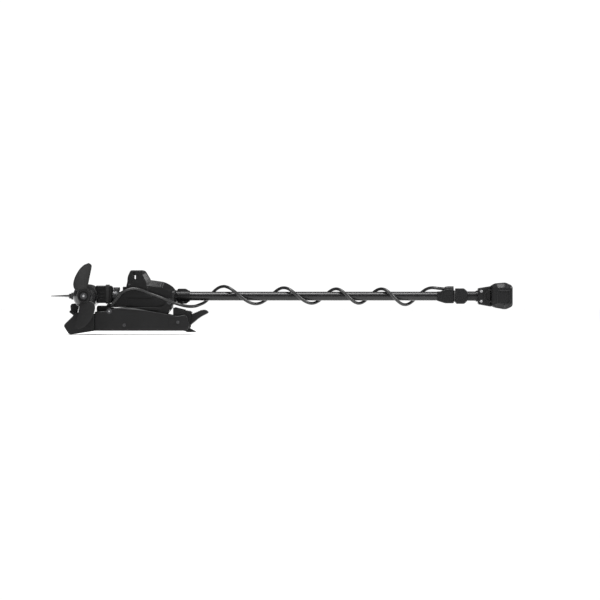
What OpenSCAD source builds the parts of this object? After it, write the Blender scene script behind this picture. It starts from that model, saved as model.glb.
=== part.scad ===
// Bow-mount electric trolling motor, stowed on its deck mount.
// +X runs along the shaft towards the control head, +Z is up, Z = 0 is the deck.
// The side that the cable runs along is -Y.

/* [Shaft] */
// Outer radius of the shaft tube
shaft_r = 16; // [12:0.5:19]
// Height of the shaft's axis above the deck when stowed
shaft_z = 124; // [118:1:150]
// Wall of the shaft tube
shaft_wall = 3; // [2:0.5:4]
// Position of the cable clamp below the head, along X
head_x = 1060; // [800:5:1400]
// Radial running clearance of the round fits
fit = 0.06; // [0.02:0.01:0.09]

/* [Pod] */
// Radius of the motor pod
pod_r = 43; // [34:1:48]
// Position of the pod's axis along X
pod_x = -199; // [-215:1:-190]
// Where the pod's tube ends on the propeller side
pod_back = 120; // [100:1:140]
// Where the pod's tube ends on the nose side
pod_front = 110; // [100:1:140]
// Radius of the propeller
prop_r = 118; // [90:1:130]
// Height of the skeg below the pod's axis
skeg_reach = 127; // [100:1:140]

/* [Mount] */
// Inner faces of the side rails, from the middle
rail_in = 81; // [78:1:100]
// Thickness of a side rail
rail_t = 24; // [14:1:30]
// Thickness of the base plate
plate_t = 6; // [4:0.5:10]
// Spacing of the deck bolts along X
bolt_x = 260; // [200:5:270]
// Spacing of the deck bolts along Y
bolt_y = 124; // [100:2:130]
// Radius of the deck bolt holes
bolt_r = 4; // [3:0.25:5]

/* [Steering housing] */
// Half the width of the housing
house_y = 62; // [60:1:62]
// Half the width of the housing's tower
tower_y = 62; // [40:1:62]
// Wall of the housing shells
wall = 3.5; // [2:0.5:5]
// Module of the steering gears
gear_m = 1.5; // [1:0.25:1.5]
// Teeth of the gear on the drive sleeve
gear_n = 40; // [36:1:40]
// Teeth of the steering pinion
pinion_n = 16; // [12:1:18]

/* [Cable] */
// Radius of the coiled cable
cord_r = 5.5; // [4:0.25:7]

/* [Hidden] */
$fn = 64;
g = 0.3;
rail_out = rail_in + rail_t;
ramp_in = rail_in - 3;
ramp_out = rail_out + 5;
arm_y0 = house_y + 4;
arm_y1 = arm_y0 + 10;
arm_pivot = [-114, 70];
house_pivot = [100, 104];
link_pivot = [-131, 53];
open_pivot = [18, 78];
bar_at = [70, 58];
pedal_pivot = [157, 46];
latch_pivot = [103, 29];
sleeve_r = shaft_r + 4;
pinion_z = shaft_z + gear_m * (gear_n + pinion_n) / 2;
cable_z = shaft_z + shaft_r + cord_r + 4;

rail_pts = [[-166, 0], [162, 0], [172, 12], [164, 50], [157, 58], [128, 52], [92, 60], [27, 71],
  [-30, 85], [-60, 85], [-90, 82], [-112, 72], [-166, 68]];
rail_hollow = [[-150, 8], [156, 8], [162, 18], [152, 46], [128, 42], [90, 50], [26, 61],
  [-30, 74], [-60, 74], [-150, 58]];
ramp_pts = [[-166.4, 0], [-256, -14.4], [-278, 19], [-241, 55], [-257, 67], [-252, 74],
  [-236, 62], [-166.4, 60]];
body_pts = [[-56, 88], [95, 66], [100, 80], [116, 98], [118, 146], [106, 160], [80, 175],
  [30, 182], [-51, 182], [-58, 150]];
body_cav = [[-52, 92], [91, 72], [96, 84], [111, 100], [113, 144], [103, 156], [78, 171],
  [29, 178], [-47, 178], [-53, 149]];
tower_pts = [[-52, 160], [-50, 195], [-40, 217], [8, 217], [30, 182], [30, 160]];
tower_cav = [[-48, 160], [-47, 183.5], [14, 183.5], [26, 176], [26, 160]];

cheek_pts = [[-54, 87], [-54, 151], [-60, 149], [-68, 142], [-104, 97], [-106, 90], [-103, 86]];
cradle_pts = [[-160, plate_t + 0.2], [-147, plate_t + 0.2], [-146, 50], [-143, 64.5], [-118, 64.5],
  [-112, 76], [-112, 90], [-160, 90], [-163, 82], [-163, 40]];
puck_pts = [for (p = [[-60, 7], [-56, 15], [-37, 18], [-27, 11], [-35, -15], [-44, -18], [-57, -13]])
  [pod_x + p[0], shaft_z - pod_r + p[1]]];

lower_route = [[-72, -71, 136], [-50, -72, 146], [-27, -72, 150], [0, -73, 145],
  [27, -76, 134], [54, -81, 124], [81, -86.5, 114], [108, -86.5, 103], [135, -74, 94],
  [155, -50, 89], [171, -28, 87], [190, -8, 88], [207, 8, 94], [222, 20, 101],
  [235, 29, 113], [247, 30, 130], [262, 24, 146], [278, 12, 156], [291.8, 1, 158.7]];
// X, turn about the shaft from the top, and distance from the shaft's axis
coil_turns = concat([for (q = [[0, 0, 35], [116, 180, 28], [216, 360, 30], [317, 540, 26],
  [404, 720, 26], [486, 900, 26], [566, 1080, 26], [652, 1260, 31], [753, 1440, 30]])
  [293 + q[0] * (head_x - 307) / 753, q[1], q[2]]], [[head_x + 30, 1440, cable_z - shaft_z]]);

function catmull(a, b, c, d, t) = 0.5 * ((2 * b) + (c - a) * t
  + (2 * a - 5 * b + 4 * c - d) * t * t + (3 * b - a - 3 * c + d) * t * t * t);
function at(p, u) = let (n = len(p), i = min(floor(u), n - 2), t = u - i)
  catmull(p[max(i - 1, 0)], p[i], p[i + 1], p[min(i + 2, n - 1)], t);
function smooth(p, k) = [for (i = [0 : (len(p) - 1) * k]) at(p, i / k)];
function turned(q) = [q[0], -q[2] * sin(q[1]), shaft_z + q[2] * cos(q[1])];
function unit(v) = v / norm(v);
function heading(p, i) = unit(p[min(i + 1, len(p) - 1)] - p[max(i - 1, 0)]);
function ring(p, i, r, n, up) = let (d = heading(p, i), u = unit(cross(d, up)), v = cross(u, d))
  [for (k = [0 : n - 1]) p[i] + r * (u * cos(k * 360 / n) + v * sin(k * 360 / n))];

// A round tube swept along points.
module tube(p, r, n, up) {
  m = len(p);
  pts = [for (i = [0 : m - 1]) each ring(p, i, r, n, up)];
  side = [for (i = [0 : m - 2]) for (k = [0 : n - 1]) let (a = i * n + k,
    b = i * n + (k + 1) % n) each [[a, b, a + n], [b, b + n, a + n]]];
  ends = [for (k = [1 : n - 2]) each [[0, k + 1, k],
    [(m - 1) * n, (m - 1) * n + k, (m - 1) * n + k + 1]]];
  polyhedron(pts, concat(side, ends), convexity = 4);
}
// An outline in X and Z, extruded between two Y values.
module slab(pts, y0, y1) {
  translate([0, y1, 0]) rotate([90, 0, 0]) linear_extrude(y1 - y0) polygon(pts);
}
module rod_y(x, z, r, y0, y1) {
  translate([x, y0, z]) rotate([-90, 0, 0]) cylinder(h = y1 - y0, r = r);
}
module rod_x(y, z, r, x0, x1) {
  translate([x0, y, z]) rotate([0, 90, 0]) cylinder(h = x1 - x0, r = r);
}
module block(x0, x1, y0, y1, z0, z1) {
  translate([x0, y0, z0]) cube([x1 - x0, y1 - y0, z1 - z0]);
}
module both() { children(); mirror([0, 1, 0]) children(); }
module near() { mirror([0, 1, 0]) children(); }
function gear_pts(n, m, a0) = [for (i = [0 : n - 1]) for (k = [0 : 3]) let (p = 360 / n,
  a = a0 + i * p + (k == 0 ? -0.30 : k == 1 ? -0.12 : k == 2 ? 0.12 : 0.30) * p,
  r = m * n / 2 + (k == 0 || k == 3 ? -1.2 * m : 0.8 * m)) [r * cos(a), r * sin(a)]];
module gear_x(n, m, a0, z, x0, x1) {
  translate([x0, 0, z]) rotate([90, 0, 90]) linear_extrude(x1 - x0) polygon(gear_pts(n, m, a0));
}

// ---- deck mount ----
module base_plate() { color("DimGray") {
  difference() {
    union() {
      block(-160, 150, -rail_in + 0.4, rail_in - 0.4, 0, plate_t);
      both() block(-110, 90, 28, 33, plate_t, plate_t + 10);
      both() block(latch_pivot[0] - 9, latch_pivot[0] + 9, 9, 13, plate_t, latch_pivot[1] + 9);
    }
    for (x = [-1, 1]) for (y = [-1, 1])
      translate([x * bolt_x / 2, y * bolt_y / 2, -1]) cylinder(h = plate_t + 2, r = bolt_r);
    rod_y(latch_pivot[0], latch_pivot[1], 4.1, -14, 14);
  }
} }
module rail() { difference() {
  union() {
    difference() {
      slab(rail_pts, rail_in, rail_out);
      slab(rail_hollow, rail_in - 1, rail_out - 4);
    }
    rod_y(arm_pivot[0], arm_pivot[1] - 3, 15, rail_in, rail_out - 3);
    rod_y(131, 31, 8, rail_in, rail_out - 3);
    rod_y(-60, 20, 8, rail_in, rail_out - 3);
  }
  rod_y(arm_pivot[0], arm_pivot[1], 7.1, rail_in - 1, rail_out - 4);
  for (p = [[131, 31], [-60, 20]]) rod_y(p[0], p[1], 3.2, rail_in - 1, rail_out + 1);
  translate([0, 0, 0]) slab([[95, 19], [123, 17], [123, 46], [96, 44], [92, 32]],
    rail_out - 1.5, rail_out + 1);
} }
module rail_left() { color("DimGray") near() rail(); }
module rail_right() { color("DimGray") rail(); }
module ramp() { difference() {
  slab(ramp_pts, ramp_in, ramp_out);
  slab([[-174, 8], [-222, 4], [-228, 40], [-174, 48]], ramp_in - 1, ramp_out - 6);
} }
module ramp_left() { color("DimGray") near() ramp(); }
module ramp_right() { color("DimGray") ramp(); }
module front_beam() { color("Gray") difference() {
  slab([[-224, 12], [-196, 12], [-192, 40], [-220, 44]], -ramp_in + g, ramp_in - g);
  slab([[-219, 17], [-200, 17], [-197, 35], [-216, 39]], -ramp_in + 12, ramp_in - 12);
} }
module rest_saddle() { color("DimGray") difference() {
  slab([[-216, 43.9], [-192.2, 40.6], [-180, 66], [-176, 84], [-222, 84], [-221, 66]], -16, 16);
  rod_y(pod_x, shaft_z, pod_r + 5, -20, 20);
} }
module neck_cradle() { color("DimGray") difference() {
  slab(cradle_pts, -38, 38);
  slab([[-156, 12], [-151, 12], [-150, 52], [-146, 70], [-120, 70], [-117, 78], [-117, 84],
    [-156, 84], [-158, 80], [-158, 42]], -33, 33);
} }
module rear_cover() { color("DimGray") difference() {
  union() {
    slab([[113, 79], [113, 83], [178, 67], [178, 63]], -rail_in + 3, rail_in - 3);
    both() slab([[113, plate_t + g], [113, 80], [176, 64.5], [171, 12], [152, plate_t + g]],
      rail_in - 7, rail_in - 3);
  }
  translate([168, 0, 69.5]) rotate([0, 13.83, 0]) translate([0, 0, -8]) cylinder(h = 12, r = 7.4);
  rod_y(pedal_pivot[0], pedal_pivot[1], 5.1, -rail_in, rail_in);
} }
module display_panel() { color("Black")
  slab([[118, 81.9], [118, 84.4], [156, 75.1], [156, 72.6]], -40, 40); }
module power_button() { color("Silver")
  translate([168, 0, 69.5]) rotate([0, 13.83, 0]) {
    translate([0, 0, -6]) cylinder(h = 8.5, r = 7);
    translate([0, 0, -6]) cylinder(h = 2, r1 = 8.6, r2 = 7);
  }
}
module pedal() { color("Gray") difference() {
  union() {
    slab([[160, 55], [185, 62], [218, 76], [232, 73], [239, 64], [207, 47.5], [171, 17],
      [161, 26], [152, 38]], -42, 42);
    rod_y(pedal_pivot[0], pedal_pivot[1], 10, -42, 42);
  }
  rod_y(pedal_pivot[0], pedal_pivot[1], 5 + fit, -43, 43);
  slab([[172, 26], [203, 50], [196, 56], [172, 54]], -36, 36);
} }
module pedal_pin() { color("Silver")
  rod_y(pedal_pivot[0], pedal_pivot[1], 5, -rail_in + 2.5, rail_in - 2.5); }
module pedal_spring() { color("Silver") {
  n = 60;
  tube([for (i = [0 : n]) [pedal_pivot[0] + 8.4 * cos(i * 30), 46 + i * 0.36,
    pedal_pivot[1] + 8.4 * sin(i * 30)]], 1.2, 8, [0, 1, 0]);
} }
module latch_hook() { color("Gray") difference() {
  union() {
    slab([[98, 24], [108, 24], [110, 34], [94, 52], [92, 59.5], [79.5, 61], [78.8, 56.5],
      [84.5, 53], [86, 46]], -8, 8);
    rod_y(latch_pivot[0], latch_pivot[1], 8, -8, 8);
  }
  rod_y(latch_pivot[0], latch_pivot[1], 4 + fit, -9, 9);
} }
module latch_pin() { color("Silver") rod_y(latch_pivot[0], latch_pivot[1], 4, -14.5, 14.5); }
module rear_foot() { color("DimGray") difference() {
  union() {
    slab([[150.4, 0.4], [164, -5.4], [194, -4.7], [167, 9.7], [150.4, 5.8]], -68, 68);
    block(152, 157, 46, 70, 3, 34);
  }
  rod_x(58, 20, 5, 150, 160);
} }
module power_gland() { color("Black") difference() {
  union() {
    rod_x(58, 20, 11, 157.2, 160);
    translate([160, 58, 20]) rotate([0, 90, 0]) cylinder(h = 9, r = 9.5, $fn = 6);
    rod_x(58, 20, 7.5, 169, 173);
  }
  rod_x(58, 20, 4.5, 150, 180);
} }
module rail_screws() { color("Silver") both() for (p = [[131, 31], [-60, 20]]) {
  rod_y(p[0], p[1], 3, rail_in + 1, rail_out + 0.5);
  difference() {
    rod_y(p[0], p[1], 5.5, rail_out + 0.3, rail_out + 3);
    rod_y(p[0], p[1], 2.4, rail_out + 1.5, rail_out + 4);
  }
} }
module deck_washers() { color("Black") for (x = [-1, 1]) for (y = [-1, 1])
  translate([x * bolt_x / 2, y * bolt_y / 2, plate_t + 0.1]) difference() {
    cylinder(h = 4, r = bolt_r + 5);
    translate([0, 0, -1]) cylinder(h = 6, r = bolt_r + 0.3);
  }
}
module arm_pins() { color("Silver") both() {
  rod_y(arm_pivot[0], arm_pivot[1], 7, arm_y0 - 3, rail_out - 5);
  rod_y(arm_pivot[0], arm_pivot[1], 10, arm_y0 - 4, arm_y0 - 1);
} }
module link_brackets() { color("Gray") both() {
  slab([[link_pivot[0] - 16, plate_t + 0.2], [link_pivot[0] - 10, plate_t + 0.2],
    [link_pivot[0] - 7, plate_t + 9], [link_pivot[0] + 9, plate_t + 9],
    [link_pivot[0] + 12, plate_t + 0.2], [link_pivot[0] + 17, plate_t + 0.2],
    [link_pivot[0] + 8, link_pivot[1]], [link_pivot[0] - 8, link_pivot[1]]], 57, 62);
  rod_y(link_pivot[0], link_pivot[1], 8, 57, 62);
  rod_y(link_pivot[0], link_pivot[1], 5, 20, 62);
} }

// ---- lifting arms ----
module arm() { difference() {
  union() {
    slab([[-122, 61], [-104, 58], [70, 49], [84, 52], [108, 84], [110, 108], [90, 112],
      [82, 92], [60, 84], [-104, 82], [-122, 80]], arm_y0, arm_y1);
    rod_y(arm_pivot[0], arm_pivot[1], 14, arm_y0, arm_y1);
    rod_y(house_pivot[0], house_pivot[1], 14, arm_y0, arm_y1);
  }
  rod_y(arm_pivot[0], arm_pivot[1], 7 + fit, arm_y0 - 1, arm_y1 + 1);
  rod_y(house_pivot[0], house_pivot[1], 6.05, arm_y0 - 1, arm_y1 + 1);
  slab([[-90, 65], [60, 59], [60, 74], [-90, 74]], arm_y0 + 4, arm_y1 + 1);
} }
module arm_left() { color("DimGray") near() arm(); }
module arm_right() { color("DimGray") arm(); }
module arm_crossbar() { color("Gray") difference() {
  rod_y(bar_at[0], bar_at[1], 7, -arm_y0 + 0.1, arm_y0 - 0.1);
  rod_y(bar_at[0], bar_at[1], 3.5, -arm_y0, -20);
  rod_y(bar_at[0], bar_at[1], 3.5, 20, arm_y0);
} }
module housing_pins() { color("Silver") both() {
  rod_y(house_pivot[0], house_pivot[1], 6, house_y - 12, arm_y1 + 1);
  rod_y(house_pivot[0], house_pivot[1], 10, arm_y1 + 0.2, arm_y1 + 3);
} }
module tie_link() { color("Gray") difference() {
  union() {
    both() {
      rod_y(link_pivot[0], link_pivot[1], 12, 45, 55);
      rod_y(open_pivot[0], open_pivot[1], 16, 45, 55);
      slab([link_pivot + [-1, 7], open_pivot + [-8, 7], open_pivot + [-8, -8],
        link_pivot + [3, -7]], 45, 55);
    }
    rod_y(link_pivot[0], link_pivot[1], 9, -46, 46);
  }
  rod_y(link_pivot[0], link_pivot[1], 5 + fit, -60, 60);
  rod_y(open_pivot[0], open_pivot[1], 12, -60, 60);
} }

// ---- steering housing ----
module housing_half() { difference() {
  union() {
    difference() {
      union() {
        slab(body_pts, 0.1, house_y);
        slab(tower_pts, 0.1, tower_y);
        block(-70, -54, 0.1, 24, 144, 158);
        slab(cheek_pts, house_y - 5, house_y);
      }
      slab(body_cav, -1, house_y - wall);
      slab(tower_cav, -1, tower_y - wall);
    }
    intersection() {
      slab(body_pts, 0.1, house_y - 1);
      union() {
        block(-54, -40, 0.1, 50, 80, 158);
        block(98, 110, 0.1, 50, 76, 162);
      }
    }
    rod_y(house_pivot[0], house_pivot[1], 13, house_y - 15, house_y);
    rod_y(open_pivot[0], open_pivot[1], 4, 38, house_y);
    slab([[7, 79], [10, 70], [26, 70], [30, 76], [30, 96], [7, 96]], 37, 43.5);
  }
  rod_x(0, shaft_z, sleeve_r + 6.1, -80, 130);
  rod_y(house_pivot[0], house_pivot[1], 6 + fit, house_y - 14, house_y + 1);
  block(-31, -21, -1, tower_y + 1, 185, 199);
  block(-31, -24, tower_y - 4, tower_y + 1, 202, 213);
  difference() {
    block(-34, 40, 44.3, 56.6, 50, 99);
    rod_y(open_pivot[0], open_pivot[1], 4, 40, house_y);
  }
} }
module housing_near() { color("DimGray") difference() {
  near() housing_half();
  for (p = [[-44, 165], [60, 168]]) rod_y(p[0], p[1], 2.1, -house_y - 1, -house_y + 3);
} }
module housing_far() { color("DimGray") housing_half(); }
module end_ring() { color("Gray") difference() {
  slab([[118.2, 100], [122, 104], [122, 142], [118.2, 146]], -40, 40);
  rod_x(0, shaft_z, sleeve_r + 1, 110, 130);
} }
module steer_motor() { color("Silver") difference() {
  union() {
    rod_x(0, pinion_z, 16.4, -39.6, 0);
    rod_x(0, pinion_z, 8, 0, 3);
  }
  rod_x(0, pinion_z, 3 + fit, -20, 4);
} }
module controller_board() { color("DarkGreen") {
  block(20, 76, -44, -42, 104, 160);
  block(30, 46, -42, -37, 120, 140);
  block(54, 66, -42, -38, 112, 124);
} }
module sleeve_bearings() { color("Silver") for (x = [-53, 98]) difference() {
  rod_x(0, shaft_z, sleeve_r + 6, x, x + 12);
  rod_x(0, shaft_z, sleeve_r + fit, x - 1, x + 13);
} }
module housing_screws() { color("Silver") for (p = [[-44, 165], [60, 168]]) {
  rod_y(p[0], p[1], 2, -house_y - 0.5, -house_y + 2.5);
  rod_y(p[0], p[1], 4, -house_y - 2.4, -house_y - 0.1);
} }
module cable_boot() { color("Black") {
  p = [[-106, -70.2, 91], [-97, -70.2, 103], [-85, -70.2, 119], [-71.5, -70.6, 136.5]];
  r = [7.4, 7.0, 6.4, 5.8];
  for (i = [0 : 2]) {
    d = p[i + 1] - p[i];
    translate(p[i]) rotate([0, acos(d[2] / norm(d)), atan2(d[1], d[0])])
      for (k = [0 : 2]) translate([0, 0, k * norm(d) / 3])
        cylinder(h = norm(d) / 3 - (i == 2 && k == 2 ? 4.2 : 0), r1 = r[i] + 0.6, r2 = r[i] - 0.8);
  }
  block(-112, -100, -house_y - 15, -house_y - 0.3, 84.5, 97);
} }

// ---- drive sleeve, collar and pinion ----
module drive_sleeve() { color("Silver") {
  difference() {
    rod_x(0, shaft_z, sleeve_r, -62, 123);
    rod_x(0, shaft_z, shaft_r + fit, -63, 124);
  }
  for (s = [-1, 1]) block(30, 90, s * (shaft_r + 1.5) - (s > 0 ? 2.4 : -0.2) - (s < 0 ? 0.2 : 0),
    s * (shaft_r + 1.5) + (s > 0 ? 0 : 2.4), shaft_z - 1.3, shaft_z + 1.3);
} }
module drive_gear() { color("Gold") difference() {
  gear_x(gear_n, gear_m, 90, shaft_z, 6, 16);
  rod_x(0, shaft_z, sleeve_r + 0.1, 5, 17);
} }
module depth_collar() { color("DimGray") difference() {
  union() {
    rod_x(0, shaft_z, shaft_r + 4, 123.4, 171);
    slab([[124, 136], [124, 145], [129, 151], [156, 151], [170, 142], [170, 136]], -9, 9);
    slab([[124, 112], [124, 104], [130, 96.5], [158, 96.5], [170, 106], [170, 112]], -9, 9);
    block(132, 162, 0, 34, shaft_z - 9, shaft_z + 9);
  }
  rod_x(0, shaft_z, shaft_r + fit, 120, 175);
  rod_y(147, shaft_z, 5.3, 20, 40);
  block(122, 172, -1, 1, shaft_z - 40, shaft_z - shaft_r - 1);
} }
module collar_knob() { color("Black") {
  rod_y(147, shaft_z, 5, 21.5, 36);
  translate([147, 36, shaft_z]) rotate([-90, 0, 0]) linear_extrude(14)
    polygon([for (a = [0 : 10 : 350]) (12 + 1.5 * cos(a * 6)) * [cos(a), sin(a)]]);
} }
module pinion() { color("Gold") {
  gear_x(pinion_n, gear_m, -90 + 180 / pinion_n, pinion_z, 4, 18);
  rod_x(0, pinion_z, 3, -18, 22);
} }

// ---- shaft ----
module shaft_tube() { color("DarkSlateGray") difference() {
  rod_x(0, shaft_z, shaft_r, -150, head_x + 70);
  rod_x(0, shaft_z, shaft_r - shaft_wall, -151, head_x + 71);
  for (s = [-1, 1]) block(-100, head_x, s > 0 ? shaft_r - 1.2 : -shaft_r - 1,
    s > 0 ? shaft_r + 1 : -shaft_r + 1.2, shaft_z - 1.7, shaft_z + 1.7);
} }
module pod_neck() { color("DimGray") difference() {
  union() {
    slab([[pod_x + 20, 99], [-112, 99], [-106, 105], [-106, 155], [-112, 162], [pod_x + 34, 162]],
      -28, 28);
    rod_x(0, shaft_z, 22, -107, -84);
    block(-104, -80, -8, 8, shaft_z + 20, shaft_z + 32);
  }
  rod_y(pod_x, shaft_z, pod_r + 0.2, -40, 40);
  rod_x(0, shaft_z, shaft_r + 0.1, -152.2, -70);
} }
module transducer() { color("DimGray") difference() {
  slab(puck_pts, -20, 20);
  rod_y(pod_x, shaft_z, pod_r + 0.1, -30, 30);
} }
module neck_strap() { color("Black") difference() {
  block(-131, -119, -31.5, 31.5, 96.5, 165.5);
  block(-132, -118, -28.2, 28.2, 98.8, 162.2);
} }
module pod_tube() { color("DarkSlateGray") difference() {
  union() {
    rod_y(pod_x, shaft_z, pod_r, -pod_back, pod_front);
    block(pod_x - pod_r - 18, pod_x - pod_r + 8, -70, 60, shaft_z - 12.6, shaft_z + 12.6);
  }
  rod_y(pod_x, shaft_z, pod_r - 5, -pod_back + 3, pod_front + 1);
  rod_y(pod_x, shaft_z, 15.2, -pod_back - 1, pod_front + 1);
  rod_x(0, shaft_z, 9, pod_x + pod_r - 8, pod_x + pod_r + 4);
} }
module nose_cone() { color("DimGray") translate([pod_x, pod_front + 0.2, shaft_z])
  rotate([-90, 0, 0]) difference() {
    rotate_extrude() polygon([[0, 0], [pod_r, 0], [pod_r, 12], [pod_r - 2, 34], [pod_r - 8, 56],
      [pod_r - 17, 74], [pod_r - 28, 85], [0, 89]]);
    translate([0, 0, -1]) cylinder(h = 46, r = pod_r - 14);
  }
}
module tail_cone() { color("DimGray") translate([pod_x, -pod_back - 0.2, shaft_z])
  rotate([90, 0, 0]) difference() {
    rotate_extrude() polygon([[15, 0], [pod_r, 0], [pod_r - 1, 14], [pod_r - 6, 32],
      [pod_r - 14, 48], [24, 54], [15, 54]]);
    translate([0, 0, -1]) cylinder(h = 60, r = 15.2);
  }
}
module skeg() { color("DimGray") intersection() {
  translate([0, 0, shaft_z - 10]) linear_extrude(20) polygon([[pod_x - pod_r - 18.2, -66],
    [pod_x - skeg_reach, -52], [pod_x - skeg_reach, -14], [pod_x - pod_r - 18.2, 44]]);
  slab([[pod_x - pod_r - 18, shaft_z - 5.5], [pod_x - pod_r - 18, shaft_z + 5.5],
    [pod_x - skeg_reach, shaft_z + 1.6], [pod_x - skeg_reach, shaft_z - 1.6]], -100, 100);
} }
module stator() { color("Brown") difference() {
  rod_y(pod_x, shaft_z, pod_r - 5.2, -70, 60);
  rod_y(pod_x, shaft_z, pod_r - 13, -71, 61);
} }
module pod_bearings() { color("Silver") {
  difference() {
    rod_y(pod_x, shaft_z, 15, -pod_back - 50, -pod_back + 2.5);
    rod_y(pod_x, shaft_z, 5 + fit, -pod_back - 51, -pod_back + 3);
  }
  difference() {
    rod_y(pod_x, shaft_z, pod_r - 5.2, pod_front - 14, pod_front - 2);
    rod_y(pod_x, shaft_z, 5 + fit, pod_front - 15, pod_front);
  }
} }

// ---- propeller ----
module rotor() { color("Brown") {
  rod_y(pod_x, shaft_z, pod_r - 14, -58, 50);
  rod_y(pod_x, shaft_z, 5, -pod_back - 82, pod_front - 3);
} }
blade = [[-14, 14], [-37, 20], [-39, 40], [-33, 64], [-19, 89], [0, 109], [16, 117], [24, 114.5],
  [27, 109], [22, 80], [14, 44], [14, 14]];
module propeller() { color("Gray") difference() {
  union() {
    translate([pod_x, -pod_back - 84, shaft_z]) rotate([-90, 0, 0]) rotate_extrude()
      polygon([[0, 4], [16, 4], [18, 0], [23, 1], [25, 8], [25, 26], [0, 26]]);
    for (a = [0, 180]) translate([pod_x, -pod_back - 70, shaft_z]) rotate([0, a, 0])
      rotate([0, 0, -24]) slab([for (p = blade) [p[0] * prop_r / 118, p[1] * prop_r / 118]], -2.5, 2.5);
  }
  rod_y(pod_x, shaft_z, 5.05, -pod_back - 90, -pod_back - 50);
} }
module prop_nut() { color("Silver") translate([pod_x, -pod_back - 88.2, shaft_z])
  rotate([-90, 0, 0]) difference() {
    cylinder(h = 8, r = 9, $fn = 6);
    translate([0, 0, 3]) cylinder(h = 8, r = 5.05);
  }
}

// ---- control head ----
module cable_clamp() { color("DimGray") difference() {
  union() {
    translate([head_x, 0, 0]) slab([[0, 107], [30, 98], [60, 98], [60, 151], [34, 151], [12, 141],
      [0, 141]], -22, 22);
    rod_x(0, cable_z, 10, head_x + 30, head_x + 60);
  }
  rod_x(0, shaft_z, shaft_r + 0.1, head_x - 1, head_x + 61);
  rod_x(0, cable_z, cord_r + 0.3, head_x + 26, head_x + 52);
  block(head_x - 1, head_x + 28, -12, 12, shaft_z + shaft_r + 2, 160);
} }
module connector() { color("DimGray") difference() {
  translate([head_x, 0, 0]) slab([[66, 101], [70, 96], [97, 96], [108, 106], [108, 142], [96, 152],
    [66, 152]], -26, 26);
  rod_x(0, shaft_z, shaft_r + 0.1, head_x + 60, head_x + 72);
  rod_x(0, shaft_z, 10, head_x + 60, head_x + 109);
} }
module head_neck() { color("Gray") difference() {
  union() {
    rod_x(0, shaft_z, 17, head_x + 108.2, head_x + 147);
    rod_x(0, shaft_z, 20, head_x + 140, head_x + 147);
  }
  rod_x(0, shaft_z, 10, head_x + 100, head_x + 150);
} }
module head_bracket() { color("DimGray") difference() {
  translate([head_x, 0, 0]) slab([[147.3, 97], [150, 94], [193, 86], [193, 160], [150, 153],
    [147.3, 150]], -30, 30);
  translate([head_x, 0, 0]) slab([[156, 101], [194, 94], [194, 152], [156, 146]], -25, 25);
  rod_x(0, shaft_z, 10, head_x + 140, head_x + 160);
  for (z = [-18, 18]) rod_y(head_x + 158, shaft_z + z, 3.1, -31, 31);
} }
module head_screws() { color("Silver") for (z = [-18, 18]) {
  rod_y(head_x + 158, shaft_z + z, 3, -31, 31);
  both() rod_y(head_x + 158, shaft_z + z, 5, 30.2, 33);
} }
head_pts = [[193.4, 88], [209, 82], [245, 75.6], [271, 87], [271, 161], [245, 173.5], [209, 170],
  [193.4, 161]];
head_cav = [[198, 92], [211, 87], [245, 80.5], [266, 90], [266, 158], [245, 168], [211, 165],
  [198, 157]];
module head_half() { translate([head_x, 0, 0]) difference() {
  union() { slab(head_pts, 0.1, 36); slab([for (p = head_pts) [232 + (p[0] - 232) * 0.86,
    124.5 + (p[1] - 124.5) * 0.86]], 35, 46); }
  slab(head_cav, -1, 32);
  slab([for (p = head_cav) [232 + (p[0] - 232) * 0.8, 124.5 + (p[1] - 124.5) * 0.8]], 30, 42);
  rod_x(0, shaft_z, 10, 190, 200);
} }
module head_near() { color("DimGray") near() head_half(); }
module head_far() { color("DimGray") head_half(); }
module head_board() { color("DarkGreen") translate([head_x, 0, 0]) {
  block(204, 262, -24, -22, 98, 150);
  block(214, 240, -22, -16, 110, 136);
} }

// ---- coiled cable ----
module cord_lower() { color("Black") tube(smooth(lower_route, 3), cord_r, 10, [0, 0.31, 0.95]); }
module cord_coil() { color("Black")
  tube([for (q = smooth(coil_turns, 8)) turned(q)], cord_r, 10, [0.95, 0.05, 0.31]); }

base_plate();
rail_left();
rail_right();
ramp_left();
ramp_right();
front_beam();
rest_saddle();
neck_cradle();
rear_cover();
display_panel();
power_button();
pedal();
pedal_pin();
pedal_spring();
latch_hook();
latch_pin();
rear_foot();
power_gland();
rail_screws();
deck_washers();
arm_pins();
link_brackets();
arm_left();
arm_right();
arm_crossbar();
housing_pins();
tie_link();
housing_near();
housing_far();
end_ring();
steer_motor();
controller_board();
sleeve_bearings();
housing_screws();
cable_boot();
drive_sleeve();
drive_gear();
depth_collar();
collar_knob();
pinion();
shaft_tube();
pod_neck();
neck_strap();
transducer();
pod_tube();
nose_cone();
tail_cone();
skeg();
stator();
pod_bearings();
rotor();
propeller();
prop_nut();
cable_clamp();
connector();
head_neck();
head_bracket();
head_screws();
head_near();
head_far();
cord_lower();
cord_coil();
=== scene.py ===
"""A bow-mount electric trolling motor, stowed across its deck mount.

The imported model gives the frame. This script adds the surfaces that are seen, worked out with numpy
in millimetres, and dresses every piece, old and new, in procedural finishes.
"""

import logging
import math
from dataclasses import dataclass, field
from enum import Enum

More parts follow.
